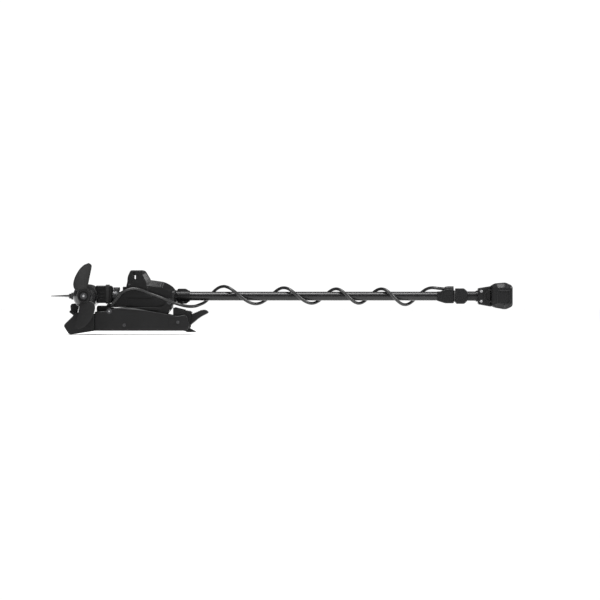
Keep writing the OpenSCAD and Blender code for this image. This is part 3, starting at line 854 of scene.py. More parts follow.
@dataclass
class CoiledCable:
    """The cable from the housing's boot, over the housing's side and round the shaft, to the head."""

    radius: float = 5.5
    shaft_z: float = SHAFT_Z
    clamp_x: float = CLAMP_X
    clamp_r: float = 25.5
    lower: tuple = ((-72, -71, 136), (-50, -72, 146), (-27, -72, 150), (0, -73, 145), (27, -76, 134),
                    (54, -81, 124), (81, -86.5, 114), (108, -86.5, 103), (135, -74, 94), (155, -50, 89),
                    (171, -28, 87), (190, -8, 88), (207, 8, 94), (222, 20, 101), (235, 29, 113),
                    (247, 30, 130), (262, 24, 146), (278, 12, 156), (293, 0, 159), (294, -0.8, 159.1))
    turns: tuple = ((293, 0, 35), (409, 180, 28), (509, 360, 30), (610, 540, 26), (697, 720, 26),
                    (779, 900, 26), (859, 1080, 26), (945, 1260, 31))

    def coil(self, per: int) -> Points:
        """Gives the coil's centre line.

        A point lies at -r sin(turn) across and shaft height + r cos(turn) up.

        Args:
            per: Steps to each half turn.

        Returns:
            The points, in millimetres.
        """
        ends = ((self.clamp_x - 14, 1440, 30), (self.clamp_x + 30, 1440, self.clamp_r))
        q = curve_through(self.turns + ends, per)
        a = np.radians(q[:, 1])
        return np.column_stack([q[:, 0], -q[:, 2] * np.sin(a), self.shaft_z + q[:, 2] * np.cos(a)])

    def piece(self, name: str, path: Points, up: tuple, node: str, bodies: tuple, cross: tuple) -> None:
        """Makes one stretch of cable.

        Args:
            name: Its name.
            path: Its centre line.
            up: A direction that it never takes.
            node: The frame's node that it stands for.
            bodies: The two bodies at its ends; not used.
            cross: Two places along its axis, in metres; not used.
        """
        surface = tube(path, self.radius, up)
        piece = bpy.data.objects.new(name, make_mesh(name, surface, 60.0))
        bpy.context.scene.collection.objects.link(piece)
        piece.data.materials.append(PAINTS.of(JACKET))
        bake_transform(piece)
        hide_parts(node)
        tuple(path[0] * MM)
        (path * MM).tolist()

    def build(self) -> None:
        """Makes both stretches, which meet at the top of the first turn."""
        self.piece("cable_lower", curve_through(self.lower, 8), (0, 0.31, 0.95), "cord_lower",
                   ("housing", "sleeve"), ((0.18, 0, 0.124), (0.293, 0, 0.124)))
        self.piece("cable_coil", self.coil(24), (0.95, 0.05, 0.31), "cord_coil",
                   ("sleeve", "shaft"), ((0.293, 0, 0.124), (1.046, 0, 0.124)))


def plate(corners: object, low: float, high: float, corner: object = 2.0, edge: float = 1.0,
          plane: Plane = Plane.SIDE) -> Surface:
    """Makes a slab with rounded corners and edges.

    Args:
        corners: The outline's corners.
        low: Where the first end is.
        high: Where the other end is.
        corner: The corners' radius, for all or for each.
        edge: The edges' radius.
        plane: Which way the outline lies.

    Returns:
        The closed surface.
    """
    return slab(rounded(corners, corner), low, high, edge, plane=plane)


def rectangle(x0: float, x1: float, z0: float, z1: float) -> list:
    """Gives a rectangle's corners."""
    return [(x0, z0), (x1, z0), (x1, z1), (x0, z1)]


def together(surfaces: list) -> Surface:
    """Puts surfaces together as one."""
    total = surfaces[0]
    for surface in surfaces[1:]:
        total = total + surface
    return total


# ---------------------------------------------------------------- motor pod


@dataclass
class MotorPod:
    """The motor's tube with its cones, keel and skeg, and the neck that carries it."""

    x: float = POD_X
    z: float = SHAFT_Z
    radius: float = POD_R
    back: float = 120.0
    front: float = 110.0
    reach: float = 127.0

    def build(self) -> None:
        """Makes the pod's pieces."""
        self.tube()
        self.cones()
        self.skeg()
        self.neck()

    def tube(self) -> None:
        """Makes the tube, with a seam near each end, and the keel block where the fin grows from it."""
        r, lo, hi = self.radius, -self.back, self.front
        seam = [(lo, 15.2), (lo, r - 1.2), (lo + 1.2, r), (lo + 9, r), (lo + 9.4, r - 0.7),
                (lo + 10.4, r - 0.7), (lo + 10.8, r), (hi - 12.8, r), (hi - 12.4, r - 0.7),
                (hi - 11.4, r - 0.7), (hi - 11, r), (hi - 0.8, r), (hi, r - 0.8), (hi, r - 5),
                (lo + 3, r - 5), (lo + 3, 15.2)]
        body = lathe(seam, (self.x, 0, self.z), 1, 96, ring=True)
        keel = plate(rectangle(self.x - r - 18, self.x - r + 6, self.z - 9, self.z + 9), -68, 58, 3.0, 3.0)
        step = plate(rectangle(self.x - r - 10, self.x - r + 7, self.z - 12.6, self.z + 12.6), -70, 60,
                     3.0, 3.5)
        add_piece("pod_tube_shell", body, POD, "shaft", ("pod_tube",))
        add_piece("pod_keel", keel + step, POD, "shaft")

    def cones(self) -> None:
        """Makes the domed nose and the stepped tail, each turned about the pod's axis."""
        r = self.radius
        u = np.linspace(0, 1, 22)[1:]
        dome = np.column_stack([0.2 + 89 * u, r * np.sqrt(np.maximum(1 - u**2.3, 0))])
        nose = np.vstack([[[0.2, 20.0], [0.2, r - 1.0], [1.2, r]], dome])
        nose[-1, 1] = 0.3
        add_piece("pod_nose", lathe(nose, (self.x, self.front, self.z), 1, 96), POD, "shaft", ("nose_cone",))
        v = np.linspace(0, 1, 14)
        curve = np.column_stack([-1.2 - 43 * v, r - 15 * v**2.2])
        tail = np.vstack([[[-0.2, 15.3], [-0.2, r - 1.0]], curve, [[-45.6, 27.4], [-46.6, 25.0],
                          [-50.0, 24.2], [-53.4, 23.2], [-54.2, 21.6], [-54.2, 15.3]]])
        add_piece("pod_tail", lathe(tail, (self.x, -self.back, self.z), 1, 96, ring=True), POD, "shaft",
                  ("tail_cone",))

    def skeg(self) -> None:
        """Makes the fin.

        At a share u of its reach the half chord, the middle and the half thickness all run straight
        from root to tip, and the section is thickness sqrt(1 - c^2), with c from -1 to 1 over the chord.
        """
        u = np.linspace(0, 1, 24)
        root, tip = self.x - self.radius - 17.0, self.x - self.reach
        half, middle, thick = 54 - 35.5 * u, -11 - 22 * u, 5.2 - 3.7 * u
        t = np.linspace(0, 2 * math.pi, 64, endpoint=False)
        round_tip = np.sqrt(1 - np.clip((u - 0.9) / 0.1, 0, 1) ** 2 * 0.75)
        c = np.sign(np.cos(t)) * np.abs(np.cos(t)) ** 0.9
        rows = np.empty((len(u), len(t), 3))
        rows[..., 0] = (root + (tip - root) * u)[:, None]
        rows[..., 1] = middle[:, None] + (half * round_tip)[:, None] * c
        rows[..., 2] = self.z + thick[:, None] * np.sin(t)
        add_piece("skeg_fin", Surface.grid(rows), POD, "shaft", ("skeg",))

    def neck(self) -> None:
        """Makes the cast neck, its strap, the ferrule round the shaft and the block under the pod."""
        x, z = self.x, self.z
        corners = [(x + 20, 99), (-112, 99), (-106, 105), (-106, 155), (-112, 162), (x + 34, 162),
                   (x + 24, 140)]
        outline = shaped(corners, (2, 5, 4, 4, 5, 3, 3), 5.0)
        body = slab(outline, -28, 28, 5.0)
        rib = together([plate(rectangle(-152, -136, z - 19 + k, z - 16 + k), -28.6, 28.6, 0.6, 0.6)
                        for k in (6, 17, 28)])
        cut = cross_rod((x, z), -60, 120, self.radius + 0.2, 0.1, 96)
        bore = rod(0, (-152.2, 0, z), 90, 16.1, 0.1, 64)
        add_piece("neck_casting", body, HOUSING, "shaft", ("pod_neck",), cut + bore)
        add_piece("neck_ribs", rib, HOUSING, "shaft", (), bore)
        steps = [(-107, 16.2), (-107, 21.4), (-106.4, 22), (-101, 22), (-100.4, 20.6), (-98, 20.6),
                 (-97.4, 22), (-91, 22), (-88, 20.4), (-84.6, 19.6), (-84, 19), (-84, 16.2)]
        lug = plate(rectangle(-104, -81, z + 18, z + 32), -8, 8, 2.5, 1.6)
        cheek = plate(rectangle(-102, -84, z + 19, z + 29), -12.5, 12.5, 3.0, 1.5)
        add_piece("neck_ferrule", lathe(steps, (0, 0, z), 0, 72, ring=True), ALLOY, "shaft")
        add_piece("neck_lug", lug + cheek, ALLOY, "shaft", (), bore.moved(60))
        band = plate([(-31.5, 96.5), (31.5, 96.5), (31.5, 165.5), (-31.5, 165.5)], -131, -119, 6.0, 1.2,
                     Plane.CROSS)
        hole = plate([(-28.2, 98.8), (28.2, 98.8), (28.2, 162.2), (-28.2, 162.2)], -135, -115, 4.0, 0.2,
                     Plane.CROSS)
        add_piece("neck_band", band, RUBBER, "shaft", ("neck_strap",), hole)
        puck = [(-259, 88), (-255, 96), (-236, 99), (-226, 92), (-234, 66), (-243, 63), (-256, 68)]
        add_piece("pod_transducer", slab(shaped(puck, 4.0, 3.0), -20, 20, 3.0, steps=6), HEAD,
                  "shaft", ("transducer",), cross_rod((x, z), -30, 60, self.radius + 0.2, 0.1, 96))


@dataclass
class Propeller:
    """The two-blade propeller, its hub and its nut."""

    x: float = POD_X
    z: float = SHAFT_Z
    blade_y: float = -190.0
    hub_y: float = -204.0
    nut_y: float = -208.2
    pitch: float = 24.0

    def blade(self) -> Surface:
        """Makes one blade, lofted from root to tip.

        The edges follow the blade's outline; across the chord the half thickness is
        t (1 - c^2)^0.6, the chord droops by a parabola, and the pitch eases from root to tip.
        """
        s = np.concatenate([np.linspace(12, 104, 30), 104 + 13 * np.sin(np.linspace(0, math.pi / 2, 12))[1:]])
        back = curve_through([(14, -14), (22, -36), (40, -43), (64, -37), (89, -22), (104, -8),
                              (112, 4), (117, 18.5)], 6)
        ahead = curve_through([(12, 14), (30, 15), (44, 18), (62, 22), (80, 26), (98, 30),
                               (110, 30), (117, 19.5)], 6)
        left = np.interp(s, back[:, 0], back[:, 1])
        right = np.interp(s, ahead[:, 0], ahead[:, 1])
        t = np.linspace(0, 2 * math.pi, 56, endpoint=False)
        c, side = np.cos(t), np.sign(np.sin(t))
        u = (s - s[0]) / (s[-1] - s[0])
        thick = 2.6 - 1.7 * u
        across = 0.5 * ((left + right)[:, None] + (right - left)[:, None] * c)
        deep = side * thick[:, None] * (1 - c**2) ** 0.6 + 1.1 * (c**2 - 0.5) * (1 - u)[:, None]
        a = np.radians(self.pitch + 2 - 5 * u)[:, None]
        rows = np.stack([across * np.cos(a) + deep * np.sin(a), -across * np.sin(a) + deep * np.cos(a),
                         np.broadcast_to(s[:, None], across.shape)], -1)
        return Surface.grid(rows).moved(self.x, self.blade_y, self.z)

    def build(self) -> None:
        """Makes the blades, the hub with its dished face, and the nut."""
        first = self.blade()
        second = first.turned(1, 180, (self.x, 0, self.z))
        add_piece("propeller_blades", first + second, BLADE, "propeller", ("propeller",), crease=50)
        hub = [(4, 5.6), (4, 15.2), (3.2, 16.4), (0.8, 17.6), (0.1, 18.8), (0, 20.8), (0.5, 22.4),
               (2, 23.6), (6, 24.7), (12, 25), (25.2, 25), (26, 24.2), (26, 5.1)]
        profile = [(s + self.hub_y, r) for s, r in hub]
        add_piece("propeller_hub", lathe(profile, (self.x, 0, self.z), 1, 96, ring=True), HOUSING,
                  "propeller", crease=30)
        nut = cross_rod((self.x, self.z), self.nut_y + 0.4, 7.6, 8.9, 0.8, 6)
        washer = cross_rod((self.x, self.z), -201.6, 1.6, 11.5, 0.4)
        add_piece("propeller_nut", nut + washer, BLACKED, "propeller", ("prop_nut",))
        tip = cross_rod((self.x, self.z), self.nut_y - 0.1, 3.0, 3.6, 1.4)
        add_piece("propeller_shaft_tip", tip, STEEL, "propeller")


# ---------------------------------------------------------------- shaft, sleeve and collar


@dataclass
class ShaftLine:
    """The grooved shaft tube and the parts that turn with the drive sleeve."""

    z: float = SHAFT_Z
    radius: float = SHAFT_R
    start: float = -150.0
    end: float = 1130.0

    def section(self, radius: float) -> Points:
        """Gives the tube's cross-section, in Y and Z.

        The radius drops by 1.2 at either side, where the height is under 1.4, and eases back by 2. A
        radius of 15 or less, which is the bore's, has no groove.
        """
        t = np.linspace(0, 2 * math.pi, 240, endpoint=False)
        groove = np.clip((2.0 - np.abs(radius * np.sin(t))) / 0.6, 0, 1)
        r = radius - 1.2 * groove * (radius > 15)
        return np.column_stack([r * np.cos(t), r * np.sin(t)])

    def build(self) -> None:
        """Makes the tube and the collar with its clamp knob."""
        outer, inner = self.section(self.radius), self.section(self.radius - 3)
        rows = np.empty((6, len(outer), 3))
        places = (self.start, self.start + 1, self.end - 1, self.end, self.end, self.start)
        rings = (outer * 0.97, outer, outer, outer * 0.97, inner, inner)
        for row, (x, ring) in enumerate(zip(places, rings)):
            rows[row, :, 0] = x
            rows[row, :, 1:] = ring + (0, self.z)
        add_piece("shaft_main_tube", Surface.grid(rows, ring=True), TUBE, "shaft", ("shaft_tube",), crease=30)
        self.collar()

    def collar(self) -> None:
        """Makes the depth collar, split below, with a lug above and the knob's boss behind."""
        z, bore, knob_x = self.z, self.radius + SHAFT_FIT, 147
        ring = [(123.4, bore), (123.4, 19.0), (124.4, 20), (134, 20), (134.6, 19.3), (137, 19.3),
                (137.6, 20), (169.8, 20), (171, 18.8), (171, bore)]
        lugs = plate([(124, 112), (124, 104), (130, 96.5), (158, 96.5), (170, 106), (170, 112)], -9, 9,
                     4.0, 2.0)
        crown = plate([(124, 136), (124, 145), (129, 151), (156, 151), (170, 142), (170, 136)], -9, 9,
                      4.0, 2.0)
        boss = plate(rectangle(132, 162, z - 9, z + 9), 17, 34, 5.0, 1.5)
        slit = plate(rectangle(120, 174, z - 40, z - self.radius + 2), -1, 1, 0.2, 0.1)
        hole = cross_rod((knob_x, z), 20, 24, 5.3, 0.1)
        core = rod(0, (118, 0, z), 60, bore, 0.1, 72)
        add_piece("collar_ring", lathe(ring, (0, 0, z), 0, 96, ring=True) + lugs + crown + boss, HOUSING,
                  "sleeve", ("depth_collar",), slit + hole + core)
        shank = cross_rod((knob_x, z - 21.5), -10.6, 21, 2.6, 0.5, 24)
        bolt_head = cross_rod((knob_x, z - 21.5), -11.4, 2.6, 4.2, 0.6, 6)
        add_piece("collar_bolt", shank + bolt_head, BLACKED, "sleeve")
        a = np.radians(np.arange(0, 360, 4))
        r = 12.1 + 1.3 * np.cos(a * 6)
        grip = slab(np.column_stack([knob_x + r * np.cos(a), z + r * np.sin(a)]), 36, 50, 1.6)
        add_piece("collar_grip", grip + cross_rod((knob_x, z), 21.6, 16, 5, 0.4), RUBBER, "knob",
                  ("collar_knob",))


# ---------------------------------------------------------------- steering housing


@dataclass
class SteeringHousing:
    """The two shells that hold the steering drive, with their tower, lip, ring and cable boot."""

    half: float = 59.8
    tower: float = 62.0
    z: float = SHAFT_Z
    wall: float = 3.5
    outline: tuple = ((-56, 85.8), (95, 65.6), (100, 80), (116, 98), (118, 146), (106, 160), (80, 175),
                      (30, 182), (-51, 182), (-58, 150))
    hollow: tuple = ((-52, 92), (91, 72), (96, 84), (104, 100), (105, 128), (92, 142), (68, 154),
                     (-52, 156))
    attic: tuple = ((-47, 150), (97, 150), (78, 169), (29, 176), (-47, 176))
    crown: tuple = ((-53, 116), (-51.5, 182), (-50, 195), (-40, 217), (8, 217), (30, 180), (38, 150),
                    (40, 116))
    cheek: tuple = ((-50, 85), (-50, 151), (-60, 149), (-68, 142), (-104, 97), (-106, 88), (-103, 83.5))

    def body(self) -> Surface:
        """Makes the far shell's outside, with a wide bevel above and a narrow one below.

        The bevel is 3.5 wide, and wider by 18 times the upward part of the outline's normal and 4 times
        its rearward part.
        """
        outline = shaped(self.outline, (5, 6, 5, 9, 9, 12, 16, 14, 9, 8))
        rear, top = np.clip(facing(outline), 0, 1).T
        edge = 3.5 + 18 * top + 4 * rear
        return slab(outline, SEAM, self.half, 0.3, edge, steps=5, bevel=True)

    def mast(self) -> Surface:
        """Makes the tower's outside, with a wide chamfer up its rear edge.

        The chamfer is 1.6 wide, wider by 15 times the rearward part of the outline's normal raised to
        1.5, and by 1.5 times its upward part.
        """
        outline = shaped(self.crown, (3, 9, 6, 6, 8, 10, 12, 8), 3.0)
        rear, top = np.clip(facing(outline), 0, 1).T
        edge = 1.6 + 15.0 * rear**1.5 + 1.5 * top
        return slab(outline, SEAM, self.tower, 0.3, edge, steps=6, bevel=True)

    def cuts(self) -> Surface:
        """Gives everything that is cut from the far shell."""
        inside = plate(self.hollow, -2, self.half - self.wall, 3.0, 1.0)
        inside = inside + plate(self.attic, -2, 35, 3.0, 1.0)
        loft = plate([(-48, 160), (-47, 183.5), (14, 183.5), (26, 176), (26, 160)], -2, 44, 2.0, 0.6)
        bore = rod(0, (-80, 0, self.z), 220, 26.1, 0.1, 72)
        slot = plate(rectangle(-31, -21, 185, 199), -2, self.tower + 2, 2.0, 0.2)
        blind = plate(rectangle(-31, -24, 202, 213), self.tower - 5, self.tower + 2, 1.5, 0.2)
        pin = cross_rod(HOUSING_AXLE, 46, 20, 6.06, 0.1, 40)
        pocket = plate(rectangle(-34, 40, 50, 99), 44.3, 56.6, 3.0, 0.2)
        return together([inside, loft, bore, slot, blind, pin, pocket])

    def inner_bosses(self) -> Surface:
        """Makes the blocks inside that hold the bearings and the pins."""
        collar = lathe([(46.5, 6.1), (46.5, 12), (57, 12), (57, 6.1)], (100, 0, 104), 1, 40, ring=True)
        return collar + cross_rod(TIE_HOUSING_AXLE, 44, 13, 3.9, 0.3, 32)

    def build(self) -> None:
        """Makes both shells, the ring behind them, the boot and the screws."""
        shell = self.body() + self.mast() + plate(rectangle(-70, -54, 144, 158), SEAM, 24, 2.5, 2.0)
        shell = shell + plate(self.cheek, 56.5, 61.9, 3.0, 1.6)
        add_piece("housing_shell_far", shell, HOUSING, "housing", ("housing_far",), self.cuts())
        add_piece("housing_shell_near", shell.mirrored(), HOUSING, "housing", ("housing_near",),
                  self.cuts().mirrored())
        posts = self.inner_bosses()
        add_piece("housing_posts", posts.paired(), HOUSING, "housing")
        blocks = together([self.bearing_block(x0, x1) for x0, x1 in ((-53.6, -40), (98, 110))])
        add_piece("bearing_blocks", blocks, HOUSING, "housing")
        ring = plate([(-40, 104), (-36, 100), (36, 100), (40, 104), (40, 142), (36, 146), (-36, 146),
                      (-40, 142)], 118.3, 122, 2.0, 1.1, Plane.CROSS)
        add_piece("housing_end_ring", ring, HEAD, "housing", ("end_ring",),
                  rod(0, (110, 0, self.z), 20, 21, 0.1, 72))
        self.boot()
        caps = together([cross_rod(place, -self.tower - 2.3, 4.4, 3.9, 0.7)
                         for place in ((-44, 165), (60, 168))])
        add_piece("housing_screw_caps", caps, BLACKED, "housing", ("housing_screws",))

    def bearing_block(self, x0: float, x1: float) -> Surface:
        """Makes a ring of plastic round one sleeve bearing.

        Args:
            x0: Where it starts.
            x1: Where it ends.

        Returns:
            The ring.
        """
        profile = [(x0, 26.2), (x0, 34), (x1, 34), (x1, 26.2)]
        return lathe(profile, (0, 0, self.z), 0, 48, ring=True)

    def boot(self) -> None:
        """Makes the ribbed boot and the arm that carries it.

        Along a share u of the boot the radius is 7.4 - 1.7 u, and 0.75 less in each of nine grooves.
        """
        path = curve_through([(-107, -70.2, 89), (-97, -70.2, 103), (-85, -70.2, 119),
                              (-74.6, -70.7, 132.4), (-66, -71.2, 139.6)], 24)
        u = np.linspace(0, 1, len(path))
        groove = (np.sin(u * 9 * 2 * math.pi) > 0.1) * (u > 0.03) * (u < 0.97)
        boot = tube(path, 7.4 - 1.7 * u - 0.75 * groove, (0, 1, 0), 40)
        spine = tube(path + (-2.2, -2.6, 1.4), 3.4 - 0.8 * u, (0, 1, 0), 24)
        add_piece("cable_boot_ribs", boot + spine, RUBBER, "housing", ("cable_boot",), crease=45)
        foot = plate(rectangle(-112, -100, 84.5, 97), -77, -61.5, 2.5, 1.5)
        add_piece("cable_boot_foot", foot, HOUSING, "housing")


# ---------------------------------------------------------------- deck mount


@dataclass
class DeckMount:
    """The rails, ramps, plate and rests that stay on the deck."""

    inner: float = 81.0
    thick: float = 24.0
    rail: tuple = ((-166, 0), (162, 0), (172, 12), (164, 50), (157, 58), (128, 52), (92, 60), (27, 71),
                   (-30, 85), (-60, 85), (-90, 82), (-112, 72), (-166, 68))
    hollow: tuple = ((-150, 8), (156, 8), (162, 18), (152, 46), (128, 42), (90, 50), (26, 61),
                     (-30, 74), (-60, 74), (-150, 58))
    ramp: tuple = ((-166.4, 0), (-256, -14.4), (-278, 19), (-241, 55), (-257, 67), (-252, 74),
                   (-236, 62), (-166.4, 60))
    screws: tuple = ((131, 31), (-60, 20))

    def side(self, name: str, piece: Surface, finish: Finish, node: str, cut: Surface | None) -> None:
        """Adds a far piece and its mirror image.

        Args:
            name: The piece's name, before the side.
            piece: The far piece.
            finish: Its finish.
            node: The node's name, before the side.
            cut: What is cut from it, or None.
        """
        add_piece(name + "_far", piece, finish, "mount", (node + "_right",), cut)
        add_piece(name + "_near", piece.mirrored(), finish, "mount", (node + "_left",),
                  None if cut is None else cut.mirrored())

    def build(self) -> None:
        """Makes the mount's pieces."""
        self.rails()
        self.ramps()
        self.underside()
        self.fasteners()

    def rails(self) -> None:
        """Makes the side rails.

        The outer edge is rounded by 2.6, by 1.8 more below and by 1.2 more above, and by up to 11 more
        on the crest about X = -35.
        """
        radii = (3, 6, 6, 6, 8, 10, 6, 14, 18, 14, 14, 10, 4)
        outline = shaped(self.rail, radii, 5.0)
        top = np.clip(facing(outline)[:, 1], 0, 1)
        foot = np.clip(-facing(outline)[:, 1], 0, 1)
        edge = 2.6 + top * 11.0 * np.exp(-(((outline[:, 0] + 35) / 34) ** 2)) + 1.8 * foot + 1.2 * top
        far = self.inner + self.thick
        body = slab(outline, self.inner, far, 0.8, edge, steps=7)
        inside = plate(self.hollow, self.inner - 2, far - 4, 4.0, 0.6)
        recess = plate([(95, 19), (123, 17), (123, 46), (96, 44), (92, 32)], far - 1.5, far + 2, 9.0, 0.3)
        holes = together([cross_rod((x, z), self.inner - 2, 32, 3.2, 0.1, 32) for x, z in self.screws])
        sink = cross_rod(self.screws[0], far - 0.6, 4, 7.5, 0.3)
        pivot = cross_rod(LIFT_AXLE, far - 1.2, 4, 10.5, 0.3)
        self.side("rail", body, RAIL, "rail", together([inside, recess, holes, sink, pivot]))

    def ramps(self) -> None:
        """Makes the front ramps, hollow inside, with a lead-in nib."""
        outline = shaped(self.ramp, (2, 8, 10, 4, 2.5, 2.5, 4, 2))
        far = self.inner + self.thick + 5
        body = slab(outline, self.inner - 3, far, 1.5, 3.5, steps=6)
        inside = plate([(-174, 8), (-222, 4), (-228, 40), (-174, 48)], self.inner - 5, far - 6, 4.0, 0.6)
        self.side("ramp", body, RAIL, "ramp", inside)

    def underside(self) -> None:
        """Makes the rests for the pod and the neck, with its guides, the front beam and the rear foot."""
        seat = [(-216, 43.9), (-192.2, 40.6), (-180, 66), (-176, 84), (-222, 84), (-221, 66)]
        saddle = slab(shaped(seat, 2.0), -16, 16, 2.0)
        add_piece("pod_rest", saddle, RUBBER, "mount", ("rest_saddle",),
                  cross_rod((POD_X, SHAFT_Z), -30, 60, 48, 0.1, 96))
        post = [(-160, 6.2), (-147, 6.2), (-146, 50), (-143, 64.5), (-118, 64.5), (-112, 76), (-112, 90),
                (-160, 90), (-163, 82), (-163, 40)]
        cradle = slab(shaped(post, (1, 1, 8, 4, 4, 4, 4, 4, 4, 10)), -38, 38, 3.0)
        valley = rod(0, (-180, 0, 118), 90, 31.5, 0.2, 72)
        guide = plate([(-128, 84), (-112, 84), (-112, 98), (-120, 98), (-127, 93)], 36, 38, 1.5, 0.6)
        add_piece("neck_rest", cradle, HOUSING, "mount", ("neck_cradle",), valley)
        add_piece("neck_rest_guides", guide.paired(), HOUSING, "mount")
        beam = plate([(-224, 12), (-196, 12), (-192, 40), (-220, 44)], -self.inner + 3.4, self.inner - 3.4,
                     3.0, 1.0)
        add_piece("front_crossbeam", beam, RAIL, "mount", ("front_beam",))
        foot = plate([(150.4, 0.4), (164, -5.4), (194, -4.7), (167, 9.7), (150.4, 5.8)], -68, 68,
                     (0.6, 4, 3, 4, 0.6), 1.6)
        tab = plate(rectangle(46, 70, 3, 34), 152, 157, 3.0, 1.0, Plane.CROSS)
        add_piece("rear_foot_pad", foot + tab, HOUSING, "mount", ("rear_foot",),
                  rod(0, (148, 58, 20), 14, 5, 0.1))

    def fasteners(self) -> None:
        """Makes the rails' cap screws and the ends of the arm pins, which show in the rails."""
        far = self.inner + self.thick
        cap = together([cross_rod(place, far - 0.5, 3.5, 5.6, 0.9) for place in self.screws])
        socket = together([cross_rod(place, far + 1.2, 4, 2.6, 0.1, 6) for place in self.screws])
        add_piece("rail_cap_screws", cap.paired(), BLACKED, "mount", ("rail_screws",), socket.paired())
        ends = cross_rod(LIFT_AXLE, far - 1.4, 1.8, 7.6, 0.9) + cross_rod(LIFT_AXLE, far - 1.4, 1.0, 9.6, 0.4)
        add_piece("arm_pin_ends", ends.paired(), BLACKED, "mount")
        dot = cross_rod(LIFT_AXLE, far - 0.4, 1.1, 2.8, 0.6, 32)
        add_piece("arm_pin_centres", dot.paired(), STEEL, "mount")


@dataclass
class RearEnd:
    """The rear cover with its dark panel, button and foot pedal."""

    def build(self) -> None:
        """Makes the cover, the panel, the button, the gland and the pedal."""
        cheek = plate([(113, 6.3), (152, 6.3), (171, 12), (176, 64.5), (113, 80)], 74, 78, 4.0, 1.2)
        top = slab(shaped([(113, 79), (113, 83), (178, 67), (178, 63)], 1.6), -78, 78, 1.4)
        pin = cross_rod(PEDAL_AXLE, -90, 180, 5.1, 0.1)
        hole = rod(2, (0, 0, -10), 20, 7.4, 0.1).turned(1, 13.83, (0, 0, 0)).moved(168, 0, 69.5)
        add_piece("rear_cover_shell", top + cheek.paired(), HOUSING, "mount", ("rear_cover",),
                  pin + hole)
        self.panel()
        dish = [(-6, 0.4), (-6, 8.4), (-5.2, 8.4), (-4.2, 7.2), (-4, 7), (1.4, 7), (2.2, 6.4), (2.4, 5.6),
                (1.5, 4.4), (1.1, 2.5), (1.0, 0.2)]
        button = lathe(dish, (0, 0, 0), 2, 48).turned(1, 13.83, (0, 0, 0)).moved(168, 0, 69.5)
        add_piece("power_button_cap", button, STEEL, "button", ("power_button",))
        gland = rod(0, (157.3, 58, 20), 2.6, 11, 0.5) + rod(0, (160, 58, 20), 9, 9.4, 0.8, 6)
        gland = gland + rod(0, (168.8, 58, 20), 4.2, 7.5, 0.8)
        add_piece("power_gland_body", gland, RUBBER, "mount", ("power_gland",),
                  rod(0, (150, 58, 20), 40, 4.5, 0.1))
        self.pedal()

    def panel(self) -> None:
        """Makes the sunk window and the plain battery and status marks on it.

        The window lies along the cover's slope; each mark is a thin plate that stands 0.15 proud.
        """
        corners = [(118, 81.9), (118, 84.4), (156, 75.1), (156, 72.6)]
        window = slab(shaped(corners, 0.7, 3.0), -40, 40, 1.2)
        add_piece("panel_glass", window, GLASS, "mount", ("display_panel",))
        slope = math.degrees(math.atan2(84.4 - 75.1, 38))
        bars = [plate(rectangle(-9, -2 + k, y, y + 6), -0.2, 0.12, 0.8, 0.05, Plane.TOP)
                for k, y in ((0, -30), (2, -21), (4, -12), (6, -3), (8, 6))]
        ring = lathe([(-0.2, 4.2), (0.12, 4.2), (0.12, 5.2), (-0.2, 5.2)], (4, 24, 0), 2, 48, ring=True)
        marks = together(bars + [ring]).turned(1, slope, (0, 0, 0)).moved(137, 0, 79.75)
        add_piece("panel_indicator_marks", marks, MARKS, "mount")

    def pedal(self) -> None:
        """Makes the foot pedal, hollow below, with a row of ribs on its tread."""
        corners = [(160, 55), (185, 62), (218, 76), (232, 73), (239, 64), (207, 47.5), (171, 17),
                   (161, 26), (152, 38)]
        outline = shaped(corners, (3, 10, 8, 6, 6, 14, 6, 3, 5))
        body = slab(outline, -42, 42, 4.0, steps=6) + cross_rod(PEDAL_AXLE, -42, 84, 10, 0.8)
        ribs = together([plate(rectangle(x - 1.3, x + 1.3, z - 1.2, z + 0.9), -34, 34, 0.6, 0.6)
                         for x, z in ((189, 63.6), (196, 66.6), (203, 69.6), (210, 72.6))])
        hollow = plate([(172, 26), (203, 50), (196, 56), (172, 54)], -36, 36, 4.0, 0.6)
        add_piece("pedal_tread", body + ribs, ARM, "pedal", ("pedal",),
                  cross_rod(PEDAL_AXLE, -50, 100, 5.06, 0.1) + hollow)


